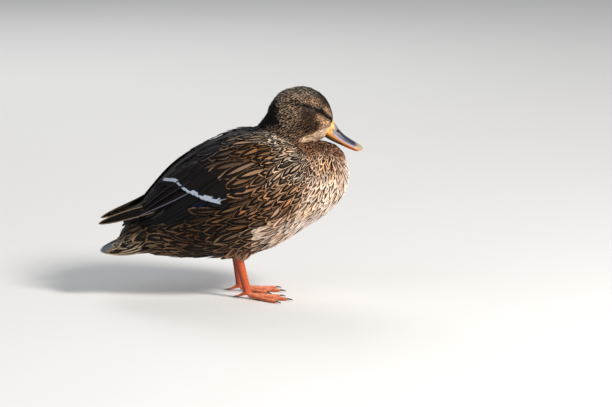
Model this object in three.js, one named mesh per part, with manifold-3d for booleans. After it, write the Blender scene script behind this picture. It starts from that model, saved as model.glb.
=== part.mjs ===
// A hen mallard standing at rest with her neck drawn in, at life size, in millimetres.
// +X points forwards, along her back to the bill, +Y to her left and +Z up, with the floor under her soles.
// She is built in sub-parts that meet with a hair's gap: trunk, neck, head, bill, eyes, wings, tail and legs.
import * as THREE from "three";
import { mergeVertices } from "three/addons/utils/BufferGeometryUtils.js";
import Module from "manifold-3d";

const wasm = await Module();
wasm.setup();

// Driving sizes.
const GAP = 0.3; // clear space between two sub-parts that meet
const BODY_HALF_WIDTH = 66; // trunk alone, at its widest
const HEAD_HALF_WIDTH = 23;
const NECK_HALF_WIDTH = 32; // low down, where it spreads into the shoulders
const BILL_HALF_WIDTH = 9.6; // at its base; the tip is broader
const TAIL_HALF_WIDTH = 36;
const EYE = { x: 72, y: 16.6, z: 225, radius: 5.6 };
const STANCE = 22; // each foot's distance from the midline
const TOE_LENGTH = 48; // middle toe without its claw
const SOLE = 0; // level of the floor

const RIGHT = -1;
const LEFT = 1;

// ---- Curves and closed skins ----

// A smooth line in the bird's middle plane, through points given as [x, z].
function line(...points) {
  return new THREE.CatmullRomCurve3(points.map(([x, z]) => new THREE.Vector3(x, 0, z)));
}

// A smooth function of t through knots given as [t, value].
function graph(...knots) {
  const value = (i) => knots[Math.min(Math.max(i, 0), knots.length - 1)];
  return (t) => {
    let i = 0;
    while (i < knots.length - 2 && t > knots[i + 1][0]) i++;
    const [t1, v1] = value(i);
    const [t2, v2] = value(i + 1);
    const slope = (a, b) => (b[1] - a[1]) / (b[0] - a[0] || 1);
    const m1 = i > 0 ? slope(value(i - 1), value(i + 1)) : slope(value(i), value(i + 1));
    const m2 = i < knots.length - 2 ? slope(value(i), value(i + 2)) : slope(value(i), value(i + 1));
    const span = t2 - t1;
    const k = (t - t1) / span;
    const k2 = k * k;
    const k3 = k2 * k;
    const ends = (2 * k3 - 3 * k2 + 1) * v1 + (3 * k2 - 2 * k3) * v2;
    return ends + span * ((k3 - 2 * k2 + k) * m1 + (k3 - k2) * m2);
  };
}

// Keeps the sign of a sine or cosine while squaring the section's shoulders (power below 1) or not (1).
function shaped(value, power) {
  return Math.sign(value) * Math.abs(value) ** power;
}

// A body whose side outline is two lines from its front pole to its rear one, and whose plan is a half width.
// waist is the share of the height at which a section is widest.
function betweenLines({ over, under, half, waist, square }) {
  const axis = over.getPointAt(0).sub(over.getPointAt(1)).normalize();
  return (t, turn, grow = 0) => {
    const top = over.getPointAt(t);
    const low = under.getPointAt(t);
    const middle = low.clone().lerp(top, waist);
    const rise = Math.sin(turn);
    const reach = rise > 0 ? top.clone().sub(middle) : middle.clone().sub(low);
    const height = reach.length();
    const up = height > 1e-6 ? reach.divideScalar(height) : new THREE.Vector3(0, 0, 1);
    const side = (half(t) + grow) * shaped(Math.cos(turn), square);
    return middle
      .addScaledVector(up, (height + grow) * shaped(rise, square))
      .addScaledVector(axis, grow * Math.cos(Math.PI * t))
      .add(new THREE.Vector3(0, side, 0));
  };
}

// A limb round a spine: wide across and deep along it, each a function of t, which closes at both ends.
function roundSpine({ spine, across, deep, lean = new THREE.Vector3(0, 1, 0) }) {
  return (t, turn, grow = 0) => {
    const along = spine.getTangentAt(t);
    const side = lean.clone().addScaledVector(along, -lean.dot(along)).normalize();
    const face = new THREE.Vector3().crossVectors(along, side);
    const closing = Math.sqrt(Math.max(0, 1 - Math.abs(2 * t - 1) ** 5));
    return spine
      .getPointAt(t)
      .addScaledVector(along, -grow * Math.cos(Math.PI * t))
      .addScaledVector(side, (across(t) * closing + grow * Math.sin(Math.PI * t)) * Math.cos(turn))
      .addScaledVector(face, (deep(t) * closing + grow * Math.sin(Math.PI * t)) * Math.sin(turn));
  };
}

// Closes place(t, turn, grow) over a sphere's grid of rings and spokes, and returns it as a solid.
function skinned(place, rings, spokes, grow = 0) {
  const geometry = new THREE.SphereGeometry(1, spokes, rings);
  const position = geometry.getAttribute("position");
  const uv = geometry.getAttribute("uv");
  for (let i = 0; i < position.count; i++) {
    const t = 1 - uv.getY(i);
    const atPole = t < 1e-6 || t > 1 - 1e-6;
    const p = place(THREE.MathUtils.clamp(t, 0, 1), atPole ? 0 : 2 * Math.PI * uv.getX(i), grow);
    position.setXYZ(i, p.x, p.y, p.z);
  }
  return solidOf(geometry);
}

// Merges a geometry's shared vertices and turns its faces outwards.
function solidOf(geometry) {
  const bare = geometry.clone();
  bare.deleteAttribute("normal");
  bare.deleteAttribute("uv");
  const merged = mergeVertices(bare, 1e-3);
  const triVerts = new Uint32Array(merged.index.array);
  const build = () =>
    new wasm.Manifold(
      new wasm.Mesh({ numProp: 3, vertProperties: merged.attributes.position.array, triVerts }),
    );
  const solid = build();
  if (solid.volume() > 0) return solid;
  for (let i = 0; i < triVerts.length; i += 3) {
    [triVerts[i + 1], triVerts[i + 2]] = [triVerts[i + 2], triVerts[i + 1]];
  }
  return build();
}

// A box from one corner to the other, as a solid.
function block(low, high) {
  const size = high.clone().sub(low);
  const box = new THREE.BoxGeometry(size.x, size.y, size.z);
  box.translate(...low.clone().add(high).multiplyScalar(0.5).toArray());
  return solidOf(box);
}

// The largest piece of a solid, without the slivers that a cut leaves.
function largest(solid) {
  return solid.decompose().sort((a, b) => b.volume() - a.volume())[0];
}

function cutBy(solid, ...others) {
  return largest(others.reduce((left, other) => left.subtract(other), solid));
}

// ---- Materials ----

function material(color, roughness, metalness = 0) {
  return new THREE.MeshStandardMaterial({ color, roughness, metalness });
}

const plumage = material(0x8a6c4c, 0.8);
const mottledHead = material(0x75604a, 0.8);
const darkPlumage = material(0x33291f, 0.7);
const paleTail = material(0x9a8468, 0.75);
const horn = material(0x9c7a3c, 0.35);
const orangeSkin = material(0xe8683a, 0.5);
const wetEye = material(0x1a0f0a, 0.08);
const claw = material(0x3a2a22, 0.4);

const duck = new THREE.Group();
const mallard = new THREE.Group();
duck.add(mallard);

function show(name, solid, look) {
  const mesh = solid.getMesh();
  const positions = new Float32Array(mesh.numVert * 3);
  for (let i = 0; i < mesh.numVert; i++) {
    positions.set(mesh.vertProperties.subarray(i * mesh.numProp, i * mesh.numProp + 3), i * 3);
  }
  const geometry = new THREE.BufferGeometry();
  geometry.setAttribute("position", new THREE.BufferAttribute(positions, 3));
  geometry.setIndex(new THREE.BufferAttribute(mesh.triVerts, 1));
  geometry.computeVertexNormals();
  const piece = new THREE.Mesh(geometry, look);
  piece.name = name;
  mallard.add(piece);
}

// ---- Trunk: a deep egg carried breast high, flat along the belly and under the tail ----

const TRUNK_MESH = [24, 28]; // rings and spokes
const trunkShape = betweenLines({
  over: line(
    [117.5, 142], [115.5, 159], [108, 173.5], [96, 182], [80, 185.5], [60, 187.5], [36, 191.5], [0, 198.5],
    [-36, 188.5], [-74, 165], [-96, 146.8], [-112, 129.5], [-130, 98], [-139, 73],
  ),
  under: line(
    [117.5, 142], [111.5, 121], [93, 101], [62, 80], [26, 58.5], [-10, 49],
    [-50, 45.5], [-90, 46.5], [-120, 51], [-135, 60], [-139, 73],
  ),
  half: graph(
    [0, 0], [0.08, 0.44 * BODY_HALF_WIDTH], [0.18, 0.73 * BODY_HALF_WIDTH],
    [0.32, 0.93 * BODY_HALF_WIDTH], [0.48, BODY_HALF_WIDTH],
    [0.64, 0.91 * BODY_HALF_WIDTH], [0.8, 0.7 * BODY_HALF_WIDTH], [0.93, 0.36 * BODY_HALF_WIDTH], [1, 0],
  ),
  waist: 0.43,
  square: 0.95,
});
const trunk = skinned(trunkShape, ...TRUNK_MESH);
const aroundTrunk = skinned(trunkShape, ...TRUNK_MESH, GAP);

// ---- Head: high rounded crown, full cheeks, and a flat chin that rests on the breast ----

const headShape = betweenLines({
  over: line(
    [95, 199], [98, 209], [94.5, 226], [84, 241], [66, 249.3], [49, 248], [35, 242], [25.5, 230.5],
    [20.5, 219], [22, 206],
  ),
  under: line([95, 199], [90, 190], [80, 186.5], [64, 185], [48, 185], [34, 189], [26, 196], [22, 206]),
  half: graph(
    [0, 0], [0.1, 11], [0.22, 0.72 * HEAD_HALF_WIDTH], [0.4, HEAD_HALF_WIDTH],
    [0.62, 1.02 * HEAD_HALF_WIDTH], [0.82, 0.86 * HEAD_HALF_WIDTH], [0.94, 0.5 * HEAD_HALF_WIDTH], [1, 0],
  ),
  waist: 0.42,
  square: 1,
});
const wholeHead = skinned(headShape, 14, 22);
const aroundHead = skinned(headShape, 14, 22, GAP);

// ---- Neck: folded down between the shoulders; it is slim under the cheeks and spreads below them ----

const neckShape = betweenLines({
  over: line([58, 230], [38, 233], [24.5, 224], [17, 212.5], [8, 203], [-4, 198.5], [-10, 184], [6, 160]),
  under: line([58, 230], [72, 216], [78, 203], [80, 192], [82, 180], [66, 160], [6, 160]),
  half: graph(
    [0, 0], [0.14, 0.38 * NECK_HALF_WIDTH], [0.3, 0.5 * NECK_HALF_WIDTH], [0.45, 0.58 * NECK_HALF_WIDTH],
    [0.6, 0.8 * NECK_HALF_WIDTH], [0.75, NECK_HALF_WIDTH], [0.9, 0.75 * NECK_HALF_WIDTH], [1, 0],
  ),
  waist: 0.5,
  square: 1,
});
const wholeNeck = skinned(neckShape, 12, 20);
const aroundNeck = skinned(neckShape, 12, 20, GAP);

// ---- Bill: spoon shaped, arched at the base, flat and broader towards the nail ----

const upperBillShape = betweenLines({
  over: line(
    [84, 203], [91, 210], [98.5, 207.5], [104, 199.5], [110, 192.5], [117, 187.2],
    [124, 182.8], [130, 179], [133, 175.5],
  ),
  under: line(
    [84, 203], [87, 194.5], [96, 188], [106, 182.6], [116, 178.2], [125, 174.8], [130.5, 173.4], [133, 175.5],
  ),
  half: graph(
    [0, 0], [0.12, BILL_HALF_WIDTH], [0.4, BILL_HALF_WIDTH], [0.62, 1.04 * BILL_HALF_WIDTH],
    [0.84, 1.2 * BILL_HALF_WIDTH], [0.95, 0.82 * BILL_HALF_WIDTH], [1, 0],
  ),
  waist: 0.2,
  square: 0.9,
});
const wholeUpperBill = skinned(upperBillShape, 14, 16);
const aroundUpperBill = skinned(upperBillShape, 14, 16, GAP);

const lowerBillShape = betweenLines({
  over: line([84, 198], [97, 190], [108, 184], [118, 179.5], [126, 175.5], [128.5, 173]),
  under: line([84, 198], [88, 190], [97, 184.5], [108, 179.5], [118, 175], [125, 172.4], [128.5, 173]),
  half: graph(
    [0, 0], [0.15, 0.85 * BILL_HALF_WIDTH], [0.5, 0.86 * BILL_HALF_WIDTH],
    [0.82, 0.95 * BILL_HALF_WIDTH], [0.94, 0.6 * BILL_HALF_WIDTH], [1, 0],
  ),
  waist: 0.55,
  square: 0.95,
});

// ---- Wings: each folded one is a shell of coverts that hugs the trunk, and the long quills behind it ----

// The shell lies in the trunk's own skin: turns in degrees above the waist, and thickness out from the trunk.
const WING = { shoulder: 0.22, rear: 0.955, low: 6, high: 84, thickness: 7 };

function wingShape(side) {
  const middle = (WING.low + WING.high) / 2;
  const half = (WING.high - WING.low) / 2;
  return (t, turn, grow = 0) => {
    const along = THREE.MathUtils.lerp(WING.shoulder, WING.rear, t);
    const full = Math.sqrt(Math.max(0, 1 - Math.abs(2 * t - 1) ** 2.2));
    const angle = THREE.MathUtils.degToRad(middle + half * full * Math.cos(turn));
    const out = (WING.thickness + grow) * full * Math.sin(turn);
    return trunkShape(along, side > 0 ? angle : Math.PI - angle, out);
  };
}

// The folded primaries: a blade from under the coverts to the pointed tip beside the rump. skew is how much
// higher the left wing's tip is carried than the middle of the two, and how much lower the right one's.
const BLADE = {
  root: [-74, 46, 128], middle: [-124, 31, 107], tip: [-178, 20, 89.2], height: 15, thickness: 4, skew: 1.7,
};

function bladeShape(side) {
  const point = ([x, y, z], share) => new THREE.Vector3(x, side * y, z + share * side * BLADE.skew);
  return roundSpine({
    spine: new THREE.CatmullRomCurve3([point(BLADE.root, 0), point(BLADE.middle, 0.4), point(BLADE.tip, 1)]),
    across: (t) => BLADE.thickness * (1 - 0.7 * t),
    deep: (t) => BLADE.height * (1 - 0.9 * t ** 1.6),
    lean: new THREE.Vector3(-0.3, side, 0.25),
  });
}

// ---- Tail: a short flat fan over the fluffed coverts below it ----

const tailShape = betweenLines({
  over: line(
    [-96, 84], [-106, 108], [-122, 102], [-138, 94], [-145.5, 88], [-148.5, 79], [-161, 67], [-172, 58],
    [-178, 53],
  ),
  under: line([-96, 84], [-106, 54], [-124, 50.5], [-142, 50.5], [-160, 51], [-172, 51.3], [-178, 53]),
  half: graph(
    [0, 0], [0.2, 0.8 * TAIL_HALF_WIDTH], [0.5, 0.98 * TAIL_HALF_WIDTH],
    [0.75, TAIL_HALF_WIDTH], [0.92, 0.62 * TAIL_HALF_WIDTH], [1, 0],
  ),
  waist: 0.55,
  square: 1.25,
});

// ---- Legs: a feathered shank, a scaly tarsus and a webbed foot, each side with its own step ----

const LEGS = [
  { name: "r", side: RIGHT, step: -2, slant: 11, toeOut: 16 },
  { name: "l", side: LEFT, step: -12, slant: 6, toeOut: -6 },
];
const ANKLE_HEIGHT = 50;
const TOES = [
  { name: "inner", angle: -27, length: 0.8, radius: 2.3 },
  { name: "middle", angle: 0, length: 1, radius: 2.6 },
  { name: "outer", angle: 25, length: 0.93, radius: 2.4 },
];
const WEB_THICKNESS = 1.3;

// A point on a foot: forward and outward from the toes' root, turned by the way the foot points.
function onFoot(leg, angle, reach, height) {
  const turned = THREE.MathUtils.degToRad(angle + leg.toeOut);
  return new THREE.Vector3(
    leg.step + reach * Math.cos(turned),
    leg.side * (STANCE + reach * Math.sin(turned)),
    height,
  );
}

// Three knuckled toes. Each is flat below, where the floor cuts its round section.
function toeShape(leg, toe) {
  const reach = toe.length * TOE_LENGTH;
  return roundSpine({
    spine: new THREE.CatmullRomCurve3([
      onFoot(leg, toe.angle, -2, 4.6),
      onFoot(leg, toe.angle, 0.3 * reach, 3.1),
      onFoot(leg, toe.angle, 0.65 * reach, 1.9),
      onFoot(leg, toe.angle, reach, 1.4),
    ]),
    across: (t) => toe.radius * (1.15 - 0.3 * t + 0.12 * Math.cos(6 * Math.PI * t)),
    deep: (t) => toe.radius * (1.3 - 0.5 * t + 0.1 * Math.cos(6 * Math.PI * t)),
  });
}

function hindToeShape(leg) {
  return roundSpine({
    spine: new THREE.CatmullRomCurve3([
      onFoot(leg, 0, 3, 5),
      onFoot(leg, 180, 5, 4.6),
      onFoot(leg, 180, 13, 1.8),
    ]),
    across: (t) => 1.9 - 0.4 * t,
    deep: (t) => 1.9 - 0.4 * t,
  });
}

// The two webs are one plate, hollowed between the toe tips.
function web(leg) {
  const tip = (toe) => onFoot(leg, toe.angle, 0.96 * toe.length * TOE_LENGTH, 0);
  const [inner, middle, outer] = TOES.map(tip);
  const root = onFoot(leg, 0, 1, 0);
  const hollow = (a, b) => a.clone().add(b).multiplyScalar(0.5).lerp(root, 0.16);
  const outline = new THREE.Shape();
  outline.moveTo(root.x, root.y);
  outline.lineTo(inner.x, inner.y);
  const first = hollow(inner, middle);
  outline.quadraticCurveTo(first.x, first.y, middle.x, middle.y);
  const second = hollow(middle, outer);
  outline.quadraticCurveTo(second.x, second.y, outer.x, outer.y);
  outline.closePath();
  return solidOf(
    new THREE.ExtrudeGeometry(outline, { depth: WEB_THICKNESS, bevelEnabled: false, curveSegments: 6 }),
  );
}

function clawShape(leg, angle, reach, drop) {
  return roundSpine({
    spine: new THREE.CatmullRomCurve3([
      onFoot(leg, angle, reach, drop + 1.2),
      onFoot(leg, angle, reach + 4, drop + 1.3),
      onFoot(leg, angle, reach + 7.5, drop + 0.5),
    ]),
    across: (t) => 1.25 - 0.7 * t,
    deep: (t) => 1.3 - 0.75 * t,
  });
}

function tarsusShape(leg) {
  return roundSpine({
    spine: new THREE.CatmullRomCurve3([
      new THREE.Vector3(leg.step - leg.slant - 1, leg.side * STANCE, ANKLE_HEIGHT + 7),
      new THREE.Vector3(leg.step - leg.slant, leg.side * STANCE, ANKLE_HEIGHT),
      new THREE.Vector3(leg.step - 0.5 * leg.slant, leg.side * STANCE, 0.53 * ANKLE_HEIGHT),
      new THREE.Vector3(leg.step, leg.side * STANCE, 5),
    ]),
    across: graph([0, 4.2], [0.2, 4.6], [0.5, 3.3], [0.85, 3.7], [1, 3.8]),
    deep: graph([0, 5.6], [0.2, 6.2], [0.5, 4.9], [0.85, 5], [1, 5]),
  });
}

function shankShape(leg) {
  return roundSpine({
    spine: new THREE.CatmullRomCurve3([
      new THREE.Vector3(leg.step + 6, leg.side * (STANCE + 6), 90),
      new THREE.Vector3(leg.step - 5, leg.side * (STANCE + 3), 70),
      new THREE.Vector3(leg.step - leg.slant + 1, leg.side * STANCE, ANKLE_HEIGHT - 4),
    ]),
    across: graph([0, 15], [0.5, 15], [1, 7]),
    deep: graph([0, 17], [0.5, 17], [1, 8]),
  });
}

const underFloor = block(new THREE.Vector3(-300, -200, SOLE - 60), new THREE.Vector3(300, 200, SOLE));

// ---- Putting her together: what is named first keeps its shape, and its neighbours are cut round it ----

const sides = [
  { name: "r", side: RIGHT },
  { name: "l", side: LEFT },
];

function eyeball(side, grow = 0) {
  const ball = new THREE.SphereGeometry(EYE.radius + grow, 12, 8);
  ball.translate(EYE.x, side * EYE.y, EYE.z);
  return solidOf(ball);
}

show("trunk", trunk, plumage);
show("head", cutBy(wholeHead, aroundTrunk, ...sides.map(({ side }) => eyeball(side, GAP))), mottledHead);
show("neck", cutBy(wholeNeck, aroundTrunk, aroundHead), mottledHead);
show("bill_upper", cutBy(wholeUpperBill, aroundHead, aroundNeck, aroundTrunk), horn);
const wholeLowerBill = skinned(lowerBillShape, 12, 14);
show("bill_lower", cutBy(wholeLowerBill, aroundHead, aroundUpperBill, aroundNeck, aroundTrunk), horn);
const aroundTail = skinned(tailShape, 12, 20, GAP);
show("tail", cutBy(skinned(tailShape, 12, 20), aroundTrunk), paleTail);

for (const { name, side } of sides) {
  show(`eye_${name}`, eyeball(side), wetEye);
  const shell = wingShape(side);
  show(`wing_${name}`, cutBy(skinned(shell, 18, 14), aroundTrunk, aroundNeck, aroundTail), darkPlumage);
  const blade = skinned(bladeShape(side), 12, 10);
  const clear = skinned(shell, 18, 14, GAP);
  show(`wingtip_${name}`, cutBy(blade, aroundTrunk, clear, aroundTail), darkPlumage);
}

for (const leg of LEGS) {
  const toeShapes = TOES.map((toe) => toeShape(leg, toe));
  const foot = [...toeShapes, hindToeShape(leg)]
    .map((shape) => skinned(shape, 7, 8))
    .reduce((whole, toe) => whole.add(toe), web(leg));
  const grownToes = [...toeShapes, hindToeShape(leg)]
    .map((shape) => skinned(shape, 7, 8, GAP))
    .reduce((whole, toe) => whole.add(toe));
  const clawEnds = [
    ...TOES.map((toe) => ({ ...toe, reach: toe.length * TOE_LENGTH - 0.6, drop: 0.2 })),
    { name: "hind", angle: 180, reach: 12.4, drop: 0.4 },
  ];
  const shank = shankShape(leg);
  show(`shank_${leg.name}`, cutBy(skinned(shank, 8, 14), aroundTrunk), plumage);
  show(`foot_${leg.name}`, cutBy(foot, underFloor), orangeSkin);
  const tarsus = skinned(tarsusShape(leg), 10, 10);
  show(`tarsus_${leg.name}`, cutBy(tarsus, skinned(shank, 8, 14, GAP), grownToes, aroundTrunk), orangeSkin);
  for (const end of clawEnds) {
    const nail = skinned(clawShape(leg, end.angle, end.reach, end.drop), 4, 6);
    show(`claw_${end.name}_${leg.name}`, cutBy(nail, grownToes, underFloor), claw);
  }
}

// The origin is on the floor under the middle of the bird's bounding box.
const bounds = new THREE.Box3().setFromObject(mallard);
const centre = bounds.getCenter(new THREE.Vector3());
mallard.position.set(-centre.x, -centre.y, -bounds.min.z);

export default duck;
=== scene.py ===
# A life-size hen mallard dozing on her feet: skin, feathers, bill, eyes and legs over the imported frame.
from math import cos, pi, radians, sin

import bpy
import numpy as np
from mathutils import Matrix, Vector
from mathutils.bvhtree import BVHTree
from mathutils.kdtree import KDTree


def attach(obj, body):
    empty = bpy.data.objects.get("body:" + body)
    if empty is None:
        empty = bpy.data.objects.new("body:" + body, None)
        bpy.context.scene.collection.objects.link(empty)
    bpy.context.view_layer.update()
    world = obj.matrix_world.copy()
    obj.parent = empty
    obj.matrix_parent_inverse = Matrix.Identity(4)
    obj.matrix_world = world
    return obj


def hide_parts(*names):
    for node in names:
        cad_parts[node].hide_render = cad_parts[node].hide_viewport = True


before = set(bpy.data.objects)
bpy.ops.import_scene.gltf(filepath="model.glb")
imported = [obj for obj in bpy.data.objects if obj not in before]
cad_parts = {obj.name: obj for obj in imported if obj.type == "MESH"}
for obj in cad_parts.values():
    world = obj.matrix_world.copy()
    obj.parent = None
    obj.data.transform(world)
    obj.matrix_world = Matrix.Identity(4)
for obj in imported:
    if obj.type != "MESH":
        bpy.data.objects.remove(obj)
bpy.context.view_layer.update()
bpy.ops.object.select_all(action="DESELECT")

# ---- Studio: a long lens at the height of a crouching person, a pale floor and soft lamps ----
# The floor is matt and pale. The lamps stand to her right front, where a low winter sun would be,
# with a broad fill on the other side.

CAMERA_AIM = Vector((0.0886, 0, 0.1096))
CAMERA_DISTANCE = 4.012
CAMERA_ELEVATION = radians(10)
LENS = 200
LAMP_AIM = Vector((0, 0, 0.12))  # the middle of her body

camera = bpy.data.objects.new("camera", bpy.data.cameras.new("camera"))
camera.data.lens = LENS
camera.location = CAMERA_AIM + CAMERA_DISTANCE * Vector((0, -cos(CAMERA_ELEVATION), sin(CAMERA_ELEVATION)))
camera.rotation_euler = (pi / 2 - CAMERA_ELEVATION, 0, 0)
bpy.context.collection.objects.link(camera)
bpy.context.scene.camera = camera
bpy.context.scene.view_settings.view_transform = "Standard"


def lamp(name, place, size, power, colour=(1, 1, 1)):
    """A square lamp that faces her."""
    light = bpy.data.lights.new(name, "AREA")
    light.size = size
    light.energy = power
    light.color = colour
    stand = bpy.data.objects.new(name, light)
    stand.location = place
    stand.rotation_euler = (LAMP_AIM - Vector(place)).to_track_quat("-Z", "Y").to_euler()
    bpy.context.collection.objects.link(stand)


lamp("key_lamp", (1.9, -1.5, 1.9), 0.7, 98, (1, 0.955, 0.9))
lamp("fill_lamp", (-1.8, -1.4, 1.3), 2.0, 8, (0.94, 0.97, 1))
lamp("back_lamp", (-0.6, 2.2, 1.8), 1.6, 22)

world = bpy.data.worlds.new("studio_air")
bpy.context.scene.world = world
world.use_nodes = True
world.node_tree.nodes["Background"].inputs["Color"].default_value = (0.93, 0.95, 1, 1)
world.node_tree.nodes["Background"].inputs["Strength"].default_value = 0.3


def tint(code):
    """A colour written as six hexadecimal digits, in the renderer's own linear numbers."""
    parts = [int(code[i:i + 2], 16) / 255 for i in (0, 2, 4)]
    return [p / 12.92 if p <= 0.04045 else ((p + 0.055) / 1.055) ** 2.4 for p in parts]


class Paint:
    """A material, with short ways to add nodes and to write sums as chains of Math nodes."""

    def __init__(self, name, **settings):
        self.material = bpy.data.materials.new(name)
        self.material.use_nodes = True
        self.tree = self.material.node_tree
        self.shader = self.tree.nodes["Principled BSDF"]
        for socket, value in settings.items():
            self.shader.inputs[socket.replace("_", " ")].default_value = value

    def feed(self, socket, value):
        """Links a socket to the output of another node, or sets its own number or colour."""
        if isinstance(value, bpy.types.NodeSocket):
            self.tree.links.new(value, socket)
        else:
            socket.default_value = (*value, 1) if socket.type == "RGBA" else value

    def node(self, kind, **values):
        """Adds a node and sets its sockets, or its settings where no socket has the name."""
        made = self.tree.nodes.new(kind)
        for key, value in values.items():
            socket = made.inputs.get(key.replace("_", " "))
            if socket is None:
                setattr(made, key, value)
            else:
                self.feed(socket, value)
        return made

    def math(self, operation, *values):
        made = self.node("ShaderNodeMath", operation=operation)
        for socket, value in zip(made.inputs, values):
            self.feed(socket, value)
        return made.outputs[0]

    def step(self, value, low, high, to_low=0, to_high=1):
        """Rises smoothly from to_low to to_high as value goes from low to high."""
        made = self.node("ShaderNodeMapRange", interpolation_type="SMOOTHSTEP")
        for socket, given in zip(made.inputs, (value, low, high, to_low, to_high)):
            self.feed(socket, given)
        return made.outputs[0]

    def mix(self, share, first, second):
        """The first colour, turning into the second as share goes from 0 to 1."""
        made = self.node("ShaderNodeMix", data_type="RGBA")
        for index, given in ((0, share), (6, first), (7, second)):
            self.feed(made.inputs[index], given)
        return made.outputs[2]

    def place(self):
        return self.node("ShaderNodeTexCoord").outputs["Object"]

    def noise(self, scale, detail, coords=None):
        made = self.node("ShaderNodeTexNoise", Scale=scale, Detail=detail, Vector=coords or self.place())
        return made.outputs["Fac"]

    def attribute(self, name, output="Color"):
        return self.node("ShaderNodeAttribute", attribute_name=name).outputs[output]

    def finish(self, colour, height=None, depth=0, strength=0.5):
        """Sets the colour, and a bump of the given depth in metres, and gives the material."""
        self.feed(self.shader.inputs["Base Color"], colour)
        if height is not None:
            bump = self.node("ShaderNodeBump", Strength=strength, Distance=depth, Height=height)
            self.feed(self.shader.inputs["Normal"], bump.outputs[0])
        return self.material


FLOOR_DROP = 0.0004  # keeps the floor just under the soles

bpy.ops.mesh.primitive_plane_add(size=60, location=(0, 0, -FLOOR_DROP))
floor = bpy.context.object
floor.name = "studio_floor"
floor_paint = Paint("pale_floor", Roughness=0.9)
floor_colour = floor_paint.mix(floor_paint.noise(1.5, 4), (0.80, 0.80, 0.79), (0.84, 0.84, 0.83))
floor.data.materials.append(floor_paint.finish(floor_colour))
bpy.ops.object.select_all(action="DESELECT")

# ---- Skin: one unbroken hide over trunk, neck, head, wings and shanks ----
# The solids of her flesh reach out to the feather tips. They are joined, smoothed and drawn in by the
# depth of the coat, which is under a millimetre at the face and some five on the body.

MM = 0.001
FLESH = ["trunk", "neck", "head", "wing_r", "wing_l", "tail", "shank_r", "shank_l"]
BULGES = ["eye_r", "eye_l"]  # the lids stand out over the eyeballs
VOXEL = 1.5 * MM
GROWTH = 0.35 * MM  # closes the hair's gap between the solids
FOLD_DEPTH = 2.2 * MM  # of the crease under the jaw
FOLD_DROP = 1.8  # how far under the jaw's line the crease is deepest, and its half width, in millimetres
FOLD_WIDTH = 1.9
ORBIT_DEPTH = 1.5 * MM  # how deep the eyes' surrounds lie under the feather tips
ORBIT_SIZE = (7, 4)  # half its length and height, in millimetres
SLIT_MIDDLE = (96, 224.2)  # x and z of the middle of the slit between the lids, in millimetres
SLIT_FALL = radians(21)  # how steeply the slit falls towards the bill
TAIL_STUMP = -131 * MM  # the fleshy tail ends here; only quills reach further
STUMP_SHARE = 0.2  # how much of the solid tail's length past that is kept

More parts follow.
